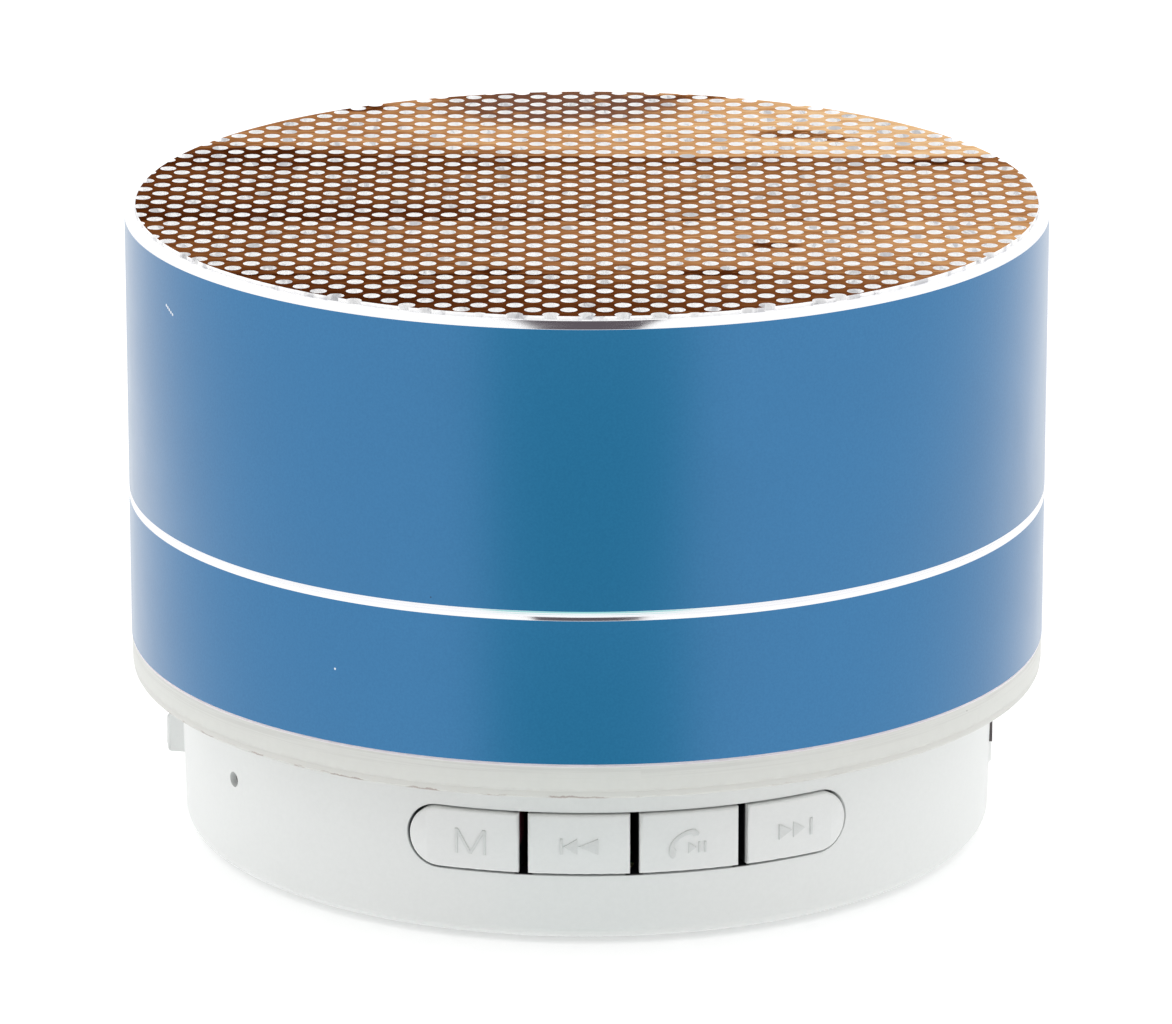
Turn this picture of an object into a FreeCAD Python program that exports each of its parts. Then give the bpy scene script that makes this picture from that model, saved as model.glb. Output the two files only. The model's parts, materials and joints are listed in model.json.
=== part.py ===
import FreeCAD, Part
import Sketcher
import math
import os
from types import SimpleNamespace

from FreeCAD import Placement, Rotation, Vector

# A cylindrical portable wireless speaker, in millimetres, +Z up. The origin is the centre of the foot
# pad's underside. The front, -Y, is the middle of the strip of keys. An azimuth is an angle in degrees
# about Z, from the front towards +X, and every height is measured from the surface it stands on.

SIZES = {
    # foot pad
    "pad_radius": 24.0, "pad_thickness": 0.8, "pad_proud": 0.4, "pad_clearance": 0.1,
    "pad_softening": 0.2,
    # base shell: a cup whose wall widens a little upwards, with a spigot inside the light ring
    "base_radius": 26.8, "base_foot_radius": 26.55, "base_inner_radius": 25.05, "base_edge": 0.9,
    "base_floor": 2.0, "base_shoulder": 11.0, "spigot_radius": 25.95, "spigot_top": 13.0,
    "post_radius": 2.6, "post_circle": 20.5, "post_top": 12.8,
    "screw_bore": 1.05, "screw_head_bore": 1.9, "screw_seat": 7.4,
    # light ring: a visible band, and a tongue inside the sleeve
    "ring_radius": 29.95, "ring_inner_radius": 26.0, "ring_edge": 0.12,
    "tongue_radius": 28.5, "tongue_inner_radius": 27.3, "tongue_top": 15.2,
    # sleeve: a turned tube with a V groove, a bevelled rim and a seat for the grille
    "sleeve_radius": 30.0, "sleeve_bore": 28.6, "sleeve_bottom": 13.2, "rim_top": 41.79,
    "rim_bevel": 0.45, "groove_centre": 22.94, "groove_half": 0.3, "seat_radius": 29.33, "seat_height": 41.2,
    # grille
    "grille_radius": 29.28, "grille_top": 42.0, "hole_radius": 0.525, "hole_pitch": 1.11,
    "grille_turn": -6.45, "hole_margin": 0.1,
    "scrim_radius": 28.4, "scrim_thickness": 0.2,
    # inner frame: the tub behind the driver
    "frame_radius": 28.5, "frame_inner_radius": 27.1, "frame_plate": 1.6, "ledge_top": 36.8,
    "ledge_depth": 2.0, "ledge_radius": 24.4, "boss_radius": 2.5, "boss_bore": 1.0, "boss_bore_depth": 3.4,
    "cable_hole": 1.8, "cable_circle": 21.5, "cable_azimuth": 69.7,
    # driver
    "flange_radius": 26.9, "flange_thickness": 0.8, "flange_inner_radius": 24.0, "basket_sheet": 0.8,
    "shelf_height": 31.6, "shelf_radius": 17.4, "basket_cup_radius": 16.4, "basket_bottom": 28.4,
    "basket_hole": 9.5, "basket_window": 52.0, "basket_fold": 0.4, "basket_step": 0.6, "basket_rib": 1.2,
    "plate_radius": 15.5, "plate_hole": 7.5, "plate_thickness": 2.0,
    "magnet_radius": 16.0, "magnet_hole": 8.5, "magnet_top": 26.4, "magnet_thickness": 6.0,
    "magnet_bevel": 0.4, "pole_radius": 6.6, "yoke_thickness": 2.0,
    "coil_inner_radius": 6.9, "coil_wall": 0.12, "winding_wall": 0.2, "coil_low": 24.4, "coil_high": 34.0,
    "winding_low": 25.2, "winding_high": 29.4,
    "cone_neck": 7.15, "cone_neck_height": 33.6, "cone_edge": 20.5, "cone_rise": 3.65, "cone_wall": 0.35,
    "cap_radius": 8.2, "cap_rise": 2.4, "cap_wall": 0.3,
    "roll_radius": 1.7, "roll_middle": 22.3, "roll_wall": 0.3, "roll_stretch": 1.05, "land": 0.9,
    "spider_radius": 17.0, "spider_wall": 0.3, "spider_wave": 0.7,
    "spider_pitch": 1.8, "spider_gap": 0.1,
    "gasket_top": 40.9,
    "terminal_width": 7.0, "terminal_height": 2.9, "terminal_low": 28.5, "terminal_thickness": 1.0,
    "terminal_gap": 0.1,
    # main board, on three short bosses
    "board_radius": 24.6, "board_low": 3.2, "board_top": 4.4, "board_post": 2.0, "board_screw_circle": 16.0,
    "board_bore": 0.9, "post_clearance": 0.3, "cut_margin": 0.1, "key_notch_span": 69.5,
    "switch_notch_span": 34.0,
    # keys and their switches
    "key_centre": 6.9, "key_height": 3.94, "key_face": 26.95, "key_back": 24.0, "lip_face": 24.85,
    "key_lip": 0.7, "key_split": 15.05, "key_gap": 1.25, "key_end": 31.1, "window_end": 31.65,
    "window_gap": 0.11, "window_gap_below": 0.2, "key_softening": 0.18, "end_slack": 0.01,
    "tact_face": 22.4, "tact_depth": 3.6, "tact_width": 4.5, "tact_height": 4.7,
    "plunger_radius": 0.9, "plunger_end": 23.85, "plunger_inset": 1.1, "plunger_bore_depth": 1.6,
    "plunger_clearance": 0.08,
    # power switch
    "switch_azimuth": -108.0, "switch_slot_width": 5.8, "switch_slot_low": 2.75, "switch_slot_high": 6.3,
    "switch_stroke": 2.0, "knob_width": 3.4, "knob_low": 3.15, "knob_high": 5.75, "knob_face": 28.1,
    "knob_plate_face": 24.4, "knob_plate_back": 23.6, "knob_plate_width": 7.2, "knob_plate_low": 2.6,
    "knob_plate_high": 6.5, "lever_width": 1.2, "lever_low": 4.75, "lever_high": 5.45, "lever_end": 21.7,
    "lever_play": 0.4, "lever_room": 0.3, "knob_softening": 0.35,
    "switch_width": 7.2, "switch_back": 19.4, "switch_face": 22.9, "switch_top": 6.1, "board_notch": 22.8,
    # audio jack, USB socket, card socket and microphone
    "jack_azimuth": -155.0, "jack_width": 6.0, "jack_height": 5.0, "jack_back": 11.6, "jack_face": 24.6,
    "barrel_radius": 2.5, "barrel_face": 26.4, "jack_bore": 1.8, "jack_bore_end": 12.4, "jack_gap": 0.2,
    "barrel_inset": 0.01,
    "usb_azimuth": 160.0, "usb_width": 7.5, "usb_height": 2.6, "usb_back": 20.6, "usb_face": 25.9,
    "usb_sheet": 0.25, "usb_gap": 0.35, "usb_gap_below": 0.25, "usb_slope": 0.4, "usb_base_depth": 0.8,
    "usb_slack": 0.02, "usb_tongue_inset": 0.7, "usb_tongue_width": 3.9, "usb_tongue_height": 0.7,
    "card_azimuth": 92.0, "card_width": 14.0, "card_height": 3.1, "card_back": 10.4, "card_face": 24.0,
    "card_opening": 13.4, "card_sheet": 0.2, "card_base": 1.3, "card_slack": 0.1,
    "nose_width": 13.2, "nose_back": 22.0, "nose_face": 26.05, "nose_gap": 0.1, "card_slit": 11.4,
    "slit_height": 1.1, "lip_width": 13.0, "lip_back": 25.2, "lip_front": 26.2, "lip_low": 4.1, "lip_high": 8.9,
    "mic_azimuth": -65.0, "mic_height": 6.86, "mic_hole": 0.5, "mic_radius": 2.0, "mic_back": 22.2,
    "mic_front": 23.7, "boot_radius": 2.4, "boot_front": 24.7, "boot_nose": 26.25,
    "mic_slack": 0.02, "mic_bore": 0.28,
    # small parts on the board
    "passive_left": -6.0, "passive_pitch": 1.6, "passive_width": 0.8, "passive_front": 3.4,
    "passive_length": 1.6, "passive_height": 0.6, "can_radius": 1.9, "can_height": 4.2,
    "lamp_width": 1.6, "lamp_back": 23.2, "lamp_front": 24.2, "lamp_height": 0.7,
    # battery, under the frame's plate
    "battery_length": 30.0, "battery_width": 20.0, "battery_height": 5.0, "battery_corner": 2.4,
    "tape_thickness": 0.6, "tape_inset": 2.0, "tape_side_inset": 3.0,
    # screws and wires
    "case_shank": 0.95, "case_head": 1.75, "case_head_height": 1.3, "case_length": 8.4,
    "small_shank": 0.7, "small_head": 1.5, "small_head_height": 0.9, "small_length": 3.0, "small_bore": 0.8,
    "small_bore_depth": 0.8,
    "driver_circle": 25.9, "driver_turn": 30.0, "driver_bore": 0.7, "driver_shank": 0.6, "driver_head": 0.8,
    "driver_head_height": 0.6,
    "wire_radius": 0.4, "battery_wire_run": 5.4, "speaker_wire_drop": 8.5, "wire_end_gap": 0.35,
    "lead_radius": 0.2, "tinsel_spread": 1.6, "tinsel_circle": 19.3, "tinsel_join": 18.4, "tinsel_gap": 0.25,
    "tinsel_start": 30.4, "tinsel_low": 31.3, "tinsel_high": 33.6,
}

# Flat packages on the board: corner x and y, length, width and height.
CHIP_PARTS = ("left", "front", "length", "width", "height")
CHIPS = {
    "main_chip": (-3.5, -8.5, 7.0, 7.0, 0.9),
    "amplifier_chip": (-11.5, 2.5, 5.0, 4.0, 1.5),
    "crystal": (5.2, -7.0, 3.2, 2.5, 0.8),
    "inductor": (-10.5, -5.0, 4.0, 4.0, 2.0),
}
for chip_label, chip_sizes in CHIPS.items():
    SIZES.update({f"{chip_label}_{part}": value for part, value in zip(CHIP_PARTS, chip_sizes)})

KEYS = (("mode", -1, True), ("previous", -1, False), ("play", 1, False), ("next", 1, True))
CASE_POSTS = (-130.0, -45.0, 45.0, 130.0)
BOARD_SCREWS = (-75.0, 58.0, 180.0)
LAMPS = (-88.0, 62.0, 142.0, -178.0)
CANS = ((13.2, 42.0), (12.0, -20.0))
PASSIVE_COUNT = 9
BATTERY_WIRES = (("battery_wire_positive", -1.2), ("battery_wire_negative", -3.2))
SPEAKER_WIRES = (("speaker_wire_positive", 0.6), ("speaker_wire_negative", -0.6))
ARC_SHARE = 0.45
SPIDER_FOLDS = 5

doc = FreeCAD.newDocument("Speaker")
sheet = doc.addObject("Spreadsheet::Sheet", "Sizes")


class Size:
    """A number together with the spreadsheet expression that gives it."""

    def __init__(self, value, text):
        self.value = value
        self.text = text

    def __add__(self, other):
        other = to_size(other)
        return Size(self.value + other.value, f"({self.text} + {other.text})")

    def __sub__(self, other):
        other = to_size(other)
        return Size(self.value - other.value, f"({self.text} - {other.text})")

    def __mul__(self, other):
        other = to_size(other)
        return Size(self.value * other.value, f"({self.text} * {other.text})")

    def __truediv__(self, other):
        other = to_size(other)
        return Size(self.value / other.value, f"({self.text} / {other.text})")

    def __neg__(self):
        return Size(-self.value, f"(0 - {self.text})")

    def __float__(self):
        return float(self.value)


def to_size(number):
    return number if isinstance(number, Size) else Size(float(number), f"({float(number):.6f})")


def fill_sheet():
    """Writes one row per size: its name, and its number under that alias."""
    for row, (name, value) in enumerate(SIZES.items(), start=1):
        sheet.set(f"A{row}", name)
        sheet.set(f"B{row}", str(value))
        sheet.setAlias(f"B{row}", name)
    doc.recompute()
    return SimpleNamespace(**{name: Size(value, f"Sizes.{name}") for name, value in SIZES.items()})


dim = fill_sheet()


# Helpers for bodies, sketches and features.

def new_body(label, azimuth=0.0, shift=0.0):
    """A body whose local front, -Y, is turned to an azimuth and moved along its local X by a shift."""
    body = doc.addObject("PartDesign::Body", label)
    body.Label = label
    turn = Rotation(Vector(0, 0, 1), float(azimuth))
    body.Placement = Placement(turn.multVec(Vector(float(shift), 0, 0)), turn)
    if isinstance(azimuth, Size):
        shift = to_size(shift)
        body.setExpression("Placement.Base.x", f"{shift.text} * cos({azimuth.text})")
        body.setExpression("Placement.Base.y", f"{shift.text} * sin({azimuth.text})")
        body.setExpression("Placement.Rotation.Angle", azimuth.text)
    return body


def new_sketch(body, plane="XY_Plane", offset=0.0, azimuth=0.0):
    """A sketch on a plane of the body's own origin, moved along its normal or turned about Z."""
    sketch = body.newObject("Sketcher::SketchObject", body.Label + "_sketch")
    support = [item for item in body.Origin.OriginFeatures if item.Role == plane][0]
    sketch.AttachmentSupport = (support, [""])
    sketch.MapMode = "FlatFace"
    turn = Rotation(Vector(0, 1, 0), float(azimuth)) if plane == "XZ_Plane" else Rotation()
    sketch.AttachmentOffset = Placement(turn.multVec(Vector(0, 0, float(offset))), turn)
    if isinstance(offset, Size):
        angle = math.radians(float(azimuth))
        sketch.setExpression("AttachmentOffset.Base.x", (offset * math.sin(angle)).text)
        sketch.setExpression("AttachmentOffset.Base.z", (offset * math.cos(angle)).text)
    return sketch


def hold(sketch, geometry, point, x, y):
    """Holds a point at its distances from the sketch's two axes."""
    for kind, axis, distance in (("DistanceX", -2, to_size(x)), ("DistanceY", -1, to_size(y))):
        if abs(distance.value) < 1e-9:
            sketch.addConstraint(Sketcher.Constraint("PointOnObject", geometry, point, axis))
            continue
        sketch.addConstraint(Sketcher.Constraint(kind, -1, 1, geometry, point, distance.value))
        sketch.setExpression(f"Constraints[{sketch.ConstraintCount - 1}]", distance.text)


def draw_outline(sketch, corners, arcs=None):
    """A closed outline. arcs maps an edge's number to its radius and the side on which it bulges."""
    arcs = arcs or {}
    places = [Vector(float(x), float(y), 0) for x, y in corners]
    first = sketch.GeometryCount
    starts = []
    for index, start in enumerate(places):
        end = places[(index + 1) % len(places)]
        if index in arcs:
            radius, side = arcs[index]
            geometry = sketch.addGeometry(Part.Arc(start, arc_middle(start, end, float(radius), side), end))
            sketch.addConstraint(Sketcher.Constraint("Radius", geometry, float(radius)))
            sketch.setExpression(f"Constraints[{sketch.ConstraintCount - 1}]", to_size(radius).text)
            starts.append(1 if sketch.getPoint(geometry, 1).isEqual(start, 1e-6) else 2)
        else:
            sketch.addGeometry(Part.LineSegment(start, end))
            starts.append(1)
    for index, (x, y) in enumerate(corners):
        following = (index + 1) % len(corners)
        sketch.addConstraint(Sketcher.Constraint(
            "Coincident", first + index, 3 - starts[index], first + following, starts[following]))
        hold(sketch, first + index, starts[index], x, y)


def arc_middle(start, end, radius, side):
    """The middle of the shorter arc between two points, to the left (+1) or right (-1) of the way."""
    way = end - start
    half = way.Length / 2
    rise = radius - math.sqrt(max(radius * radius - half * half, 0.0))
    left = Vector(-way.y, way.x, 0).normalize()
    return (start + end) * 0.5 + left * (side * rise)


def draw_circle(sketch, x, y, radius):
    geometry = sketch.addGeometry(Part.Circle(Vector(float(x), float(y), 0), Vector(0, 0, 1), float(radius)))
    sketch.addConstraint(Sketcher.Constraint("Radius", geometry, float(radius)))
    sketch.setExpression(f"Constraints[{sketch.ConstraintCount - 1}]", to_size(radius).text)
    hold(sketch, geometry, 3, x, y)


def draw_box(sketch, left, right, low, high):
    draw_outline(sketch, [(left, low), (right, low), (right, high), (left, high)])


def turned(body, corners, arcs=None, span=None, azimuth=0.0, cut=False):
    """Turns an outline of (radius, height) corners about Z: all round, or a span about an azimuth."""
    sketch = new_sketch(body, "XZ_Plane", azimuth=float(azimuth) - 90 if span else 0.0)
    draw_outline(sketch, corners, arcs)
    kind = "PartDesign::Groove" if cut else "PartDesign::Revolution"
    feature = body.newObject(kind, body.Label + "_turned")
    feature.Profile = sketch
    feature.ReferenceAxis = (sketch, ["V_Axis"])
    if span:
        feature.Midplane = True
        feature.Angle = float(span)
        feature.setExpression("Angle", to_size(span).text)
    return feature


def raised(body, sketch, length, cut=False, backwards=False):
    """Pads a sketch along its normal, or pockets it, by a length."""
    feature = body.newObject("PartDesign::Pocket" if cut else "PartDesign::Pad", body.Label + "_raised")
    feature.Profile = sketch
    feature.Length = float(length)
    feature.setExpression("Length", to_size(length).text)
    feature.Reversed = backwards
    return feature


def block(body, width, inner, outer, low, high, azimuth=0.0, cut=False):
    """A box that faces an azimuth: its width, its two distances from the axis and its two heights."""
    half = to_size(width) / 2
    return prism(body, [(-half, low), (half, low), (half, high), (-half, high)], inner, outer, azimuth, cut)


def prism(body, corners, inner, outer, azimuth=0.0, cut=False):
    """An outline of (across, height) corners, drawn out between two distances from the axis."""
    sketch = new_sketch(body, "XZ_Plane", offset=to_size(inner), azimuth=azimuth)
    draw_outline(sketch, corners)
    return raised(body, sketch, to_size(outer) - inner, cut=cut, backwards=cut)


def plug(body, radius, inner, outer, height, azimuth=0.0, cut=False):
    """A cylinder that points at an azimuth, at a height."""
    sketch = new_sketch(body, "XZ_Plane", offset=to_size(inner), azimuth=azimuth)
    draw_circle(sketch, 0, height, radius)
    return raised(body, sketch, to_size(outer) - inner, cut=cut, backwards=cut)


def columns(body, places, radius, low, high, cut=False):
    """Upright cylinders at (circle, azimuth) places."""
    sketch = new_sketch(body, offset=to_size(low))
    for circle, azimuth in places:
        angle = math.radians(float(azimuth))
        draw_circle(sketch, to_size(circle) * math.sin(angle), -(to_size(circle) * math.cos(angle)), radius)
    return raised(body, sketch, to_size(high) - low, cut=cut, backwards=cut)


def window(body, azimuth, width, low, high):
    """Cuts a box-shaped window through a round wall, from the axis outwards."""
    sketch = new_sketch(body, "XZ_Plane", azimuth=azimuth)
    draw_box(sketch, -(to_size(width) / 2), to_size(width) / 2, low, high)
    return raised(body, sketch, dim.sleeve_radius, cut=True, backwards=True)


def soften(body, radius, chosen, kind="Fillet"):
    """Rounds, or bevels, the edges of the body's last feature that a test picks."""
    doc.recompute()
    base = body.Tip
    names = [f"Edge{number}" for number, edge in enumerate(base.Shape.Edges, start=1) if chosen(edge)]
    if not names:
        raise RuntimeError(f"{body.Label}: no edge to soften")
    feature = body.newObject("PartDesign::" + kind, body.Label + "_soft")
    feature.Base = (base, names)
    name = "Radius" if kind == "Fillet" else "Size"
    setattr(feature, name, float(radius))
    feature.setExpression(name, to_size(radius).text)
    return feature


def is_circle(radius, height):
    """A test for a full circle about Z."""
    def test(edge):
        box = edge.BoundBox
        flat = box.ZLength < 1e-4 and abs(box.ZMin - float(height)) < 1e-3
        return flat and abs(box.XLength / 2 - float(radius)) < 1e-2
    return test


def on_azimuth(azimuth):
    """A test for a level straight edge that points away from the axis at an azimuth."""
    def test(edge):
        if not isinstance(edge.Curve, Part.Line) or edge.BoundBox.ZLength > 1e-4:
            return False
        middle = edge.valueAt((edge.FirstParameter + edge.LastParameter) / 2)
        found = math.degrees(math.atan2(middle.x, -middle.y))
        return edge.Length > 0.4 and abs(found - float(azimuth)) < 0.02
    return test


def shape_node(label, shape):
    """A sub-part whose shape is worked out here from the sheet's sizes."""
    feature = doc.addObject("Part::Feature", label)
    feature.Label = label
    feature.Shape = shape
    return feature


# The outside: foot pad, base shell, light ring, sleeve and grille.

def foot_pad():
    body = new_body("foot_pad")
    turned(body, [(0, 0), (dim.pad_radius, 0), (dim.pad_radius, dim.pad_thickness), (0, dim.pad_thickness)])
    soften(body, dim.pad_softening, is_circle(dim.pad_radius, 0))


def base_shell():
    """The cup, with a recess for the foot pad, windows in its wall and posts on its floor."""
    body = new_body("base_shell")
    recess = dim.pad_radius + dim.pad_clearance
    turned(body, [
        (0, dim.pad_thickness), (recess, dim.pad_thickness), (recess, dim.pad_proud),
        (dim.base_foot_radius, dim.pad_proud), (dim.base_radius, dim.base_shoulder),
        (dim.spigot_radius, dim.base_shoulder), (dim.spigot_radius, dim.spigot_top),
        (dim.base_inner_radius, dim.spigot_top), (dim.base_inner_radius, dim.base_floor), (0, dim.base_floor)])
    soften(body, dim.base_edge, is_circle(dim.base_foot_radius, dim.pad_proud))
    key_low = dim.key_centre - dim.key_height / 2 - dim.window_gap_below
    key_high = dim.key_centre + dim.key_height / 2 + dim.window_gap
    turned(body, [
        (dim.key_back, key_low), (dim.sleeve_radius, key_low), (dim.sleeve_radius, key_high),
        (dim.key_back, key_high)], span=dim.window_end * 2, cut=True)
    ends = [on_azimuth(dim.window_end), on_azimuth(-dim.window_end)]
    end_radius = (key_high - key_low) / 2 - dim.end_slack
    soften(body, end_radius, lambda edge: any(test(edge) for test in ends))
    window(body, dim.switch_azimuth, dim.switch_slot_width, dim.switch_slot_low, dim.switch_slot_high)
    block(body, dim.lip_width, dim.lip_back, dim.lip_front, dim.lip_low, dim.lip_high, dim.card_azimuth)
    card_low = dim.board_top + dim.card_base - dim.nose_gap
    card_high = dim.board_top + dim.card_height - dim.card_sheet + dim.nose_gap
    window(body, dim.card_azimuth, dim.card_opening, card_low, card_high)
    usb_low = dim.board_top - dim.usb_gap_below
    usb_high = dim.board_top + dim.usb_height + dim.usb_gap
    window(body, dim.usb_azimuth, dim.usb_width + dim.usb_gap * 2, usb_low, usb_high)
    for azimuth, radius, height in (
            (dim.jack_azimuth, dim.barrel_radius + dim.jack_gap, dim.board_top + dim.jack_height / 2),
            (dim.mic_azimuth, dim.mic_hole, dim.mic_height)):
        sketch = new_sketch(body, "XZ_Plane", azimuth=azimuth)
        draw_circle(sketch, 0, height, radius)
        raised(body, sketch, dim.sleeve_radius, cut=True, backwards=True)
    case_posts = [(dim.post_circle, azimuth) for azimuth in CASE_POSTS]
    board_posts = [(dim.board_screw_circle, azimuth) for azimuth in BOARD_SCREWS]
    columns(body, case_posts, dim.post_radius, dim.base_floor, dim.post_top)
    columns(body, board_posts, dim.board_post, dim.base_floor, dim.board_low)
    columns(body, case_posts, dim.screw_bore, dim.pad_thickness, dim.post_top, cut=True)
    columns(body, case_posts, dim.screw_head_bore, dim.pad_thickness, dim.screw_seat, cut=True)
    columns(body, board_posts, dim.small_bore, dim.base_floor - dim.small_bore_depth, dim.board_low, cut=True)


def light_ring():
    body = new_body("light_ring")
    turned(body, [
        (dim.ring_inner_radius, dim.base_shoulder), (dim.ring_radius, dim.base_shoulder),
        (dim.ring_radius, dim.sleeve_bottom), (dim.tongue_radius, dim.sleeve_bottom),
        (dim.tongue_radius, dim.tongue_top), (dim.tongue_inner_radius, dim.tongue_top),
        (dim.tongue_inner_radius, dim.spigot_top), (dim.ring_inner_radius, dim.spigot_top)])
    soften(body, dim.ring_edge, is_circle(dim.ring_radius, dim.base_shoulder))


def body_sleeve():
    body = new_body("body_sleeve")
    groove_low = dim.groove_centre - dim.groove_half
    groove_high = dim.groove_centre + dim.groove_half
    turned(body, [
        (dim.sleeve_bore, dim.sleeve_bottom), (dim.sleeve_radius, dim.sleeve_bottom),
        (dim.sleeve_radius, groove_low), (dim.sleeve_radius - dim.groove_half, dim.groove_centre),
        (dim.sleeve_radius, groove_high), (dim.sleeve_radius, dim.rim_top - dim.rim_bevel),
        (dim.sleeve_radius - dim.rim_bevel, dim.rim_top), (dim.seat_radius, dim.rim_top),
        (dim.seat_radius, dim.seat_height), (dim.sleeve_bore, dim.seat_height)])


def grille():
    """A punched disc. Holes in staggered rows run past its edge, which cuts the outermost ones open.

    A hole that would nearly touch the edge is moved inwards a little.
    """
    radius = dim.grille_radius.value
    hole = dim.hole_radius.value
    pitch = dim.hole_pitch.value
    margin = dim.hole_margin.value
    reach = int(radius / pitch) + 2
    circles = []
    bites = []
    for row in range(-reach, reach + 1):
        for column in range(-reach, reach + 1):
            if (row + column) % 2:
                continue
            centre = Vector(column * pitch, row * pitch, 0)
            distance = centre.Length
            if distance + hole < radius - margin:
                circles.append(Part.Wire(Part.makeCircle(hole, centre, Vector(0, 0, -1))))
            elif distance < radius - hole + margin:
                inset = centre * ((radius - hole - margin) / distance)
                circles.append(Part.Wire(Part.makeCircle(hole, inset, Vector(0, 0, -1))))
            elif distance < radius + hole - margin:
                bites.append((math.atan2(centre.y, centre.x), distance))
    face = Part.Face([notched_rim(radius, hole, sorted(bites))] + circles)
    node = shape_node("grille", face.extrude(Vector(0, 0, (dim.grille_top - dim.seat_height).value)))
    turn = Rotation(Vector(0, 0, 1), dim.grille_turn.value)
    node.Placement = Placement(Vector(0, 0, dim.seat_height.value), turn)


def notched_rim(radius, hole, bites):
    """The outline of a disc with round bites at (angle, distance of the bite's centre)."""
    def on_rim(angle):
        return Vector(radius * math.cos(angle), radius * math.sin(angle), 0)

    edges = []
    stretches = []
    for angle, distance in bites:
        half = math.acos((radius ** 2 + distance ** 2 - hole ** 2) / (2 * radius * distance))
        inward = Vector(math.cos(angle), math.sin(angle), 0) * (distance - hole)
        edges.append(Part.Arc(on_rim(angle - half), inward, on_rim(angle + half)).toShape())
        stretches.append((angle - half, angle + half))
    for (_, leave), (arrive, _) in zip(stretches, stretches[1:] + stretches[:1]):
        if arrive < leave:
            arrive += 2 * math.pi
        edges.append(Part.Arc(on_rim(leave), on_rim((leave + arrive) / 2), on_rim(arrive)).toShape())
    return Part.Wire(Part.__sortEdges__(edges))


def dust_scrim():
    body = new_body("dust_scrim")
    sketch = new_sketch(body, offset=dim.seat_height - dim.scrim_thickness)
    draw_circle(sketch, 0, 0, dim.scrim_radius)
    raised(body, sketch, dim.scrim_thickness)


# Inside the sleeve: the frame and the driver.

def inner_frame():
    """A tub with a ledge for the driver, and four bosses below its plate for the case screws."""
    body = new_body("inner_frame")
    plate_top = dim.tongue_top + dim.frame_plate
    ledge_low = dim.ledge_top - dim.ledge_depth
    turned(body, [
        (0, dim.tongue_top), (dim.frame_radius, dim.tongue_top), (dim.frame_radius, dim.ledge_top),
        (dim.ledge_radius, dim.ledge_top), (dim.ledge_radius, ledge_low),
        (dim.frame_inner_radius, ledge_low), (dim.frame_inner_radius, plate_top), (0, plate_top)])
    bosses = [(dim.post_circle, azimuth) for azimuth in CASE_POSTS]
    columns(body, bosses, dim.boss_radius, dim.post_top, dim.tongue_top)
    columns(body, bosses, dim.boss_bore, dim.post_top, dim.post_top + dim.boss_bore_depth, cut=True)
    columns(body, driver_screw_places(), dim.driver_bore, ledge_low, dim.ledge_top, cut=True)
    cable_place = [(dim.cable_circle, dim.cable_azimuth)]
    columns(body, cable_place, dim.cable_hole, dim.tongue_top, plate_top, cut=True)


def driver_screw_places():
    return [(dim.driver_circle, dim.driver_turn + quarter * 90) for quarter in range(4)]


def driver_basket():
    """A pressed basket: flange, cone-shaped flank with four windows, spider shelf and cup."""
    body = new_body("driver_basket")
    sheet_wall = dim.basket_sheet
    cup_top = dim.shelf_height
    turned(body, [
        (dim.basket_hole, dim.basket_bottom), (dim.basket_cup_radius, dim.basket_bottom),
        (dim.basket_cup_radius, cup_top), (dim.shelf_radius + dim.basket_fold, cup_top),
        (dim.flange_inner_radius, dim.ledge_top - sheet_wall), (dim.flange_inner_radius, dim.ledge_top),
        (dim.flange_radius, dim.ledge_top), (dim.flange_radius, dim.ledge_top + sheet_wall),
        (dim.flange_inner_radius - dim.basket_step, dim.ledge_top + sheet_wall),
        (dim.flange_inner_radius - dim.basket_step, dim.ledge_top - sheet_wall + dim.basket_fold),
        (dim.shelf_radius, cup_top + sheet_wall), (dim.basket_cup_radius - sheet_wall, cup_top + sheet_wall),
        (dim.basket_cup_radius - sheet_wall, dim.basket_bottom + sheet_wall),
        (dim.basket_hole, dim.basket_bottom + sheet_wall)])
    inner = dim.shelf_radius + sheet_wall
    outer = dim.flange_inner_radius - dim.basket_rib
    for azimuth in (0, 90, 180, 270):
        turned(body, [
            (inner, dim.basket_bottom), (outer, dim.basket_bottom), (outer, dim.ledge_top - sheet_wall),
            (inner, dim.ledge_top - sheet_wall)], span=dim.basket_window, azimuth=azimuth, cut=True)
    flange = dim.ledge_top + dim.flange_thickness
    columns(body, driver_screw_places(), dim.driver_bore, dim.ledge_top, flange, cut=True)


def motor():
    """Magnet between a top plate and a yoke with its pole."""
    top_plate = new_body("top_plate")
    turned(top_plate, [
        (dim.plate_hole, dim.magnet_top), (dim.plate_radius, dim.magnet_top),
        (dim.plate_radius, dim.magnet_top + dim.plate_thickness),
        (dim.plate_hole, dim.magnet_top + dim.plate_thickness)])
    magnet = new_body("magnet")
    low = dim.magnet_top - dim.magnet_thickness
    turned(magnet, [
        (dim.magnet_hole, low), (dim.magnet_radius, low), (dim.magnet_radius, dim.magnet_top),
        (dim.magnet_hole, dim.magnet_top)])
    soften(magnet, dim.magnet_bevel, is_circle(dim.magnet_radius, low), kind="Chamfer")
    pole_piece = new_body("pole_piece")
    turned(pole_piece, [
        (0, low - dim.yoke_thickness), (dim.plate_radius, low - dim.yoke_thickness), (dim.plate_radius, low),
        (dim.pole_radius, low), (dim.pole_radius, dim.magnet_top + dim.plate_thickness),
        (0, dim.magnet_top + dim.plate_thickness)])


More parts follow.
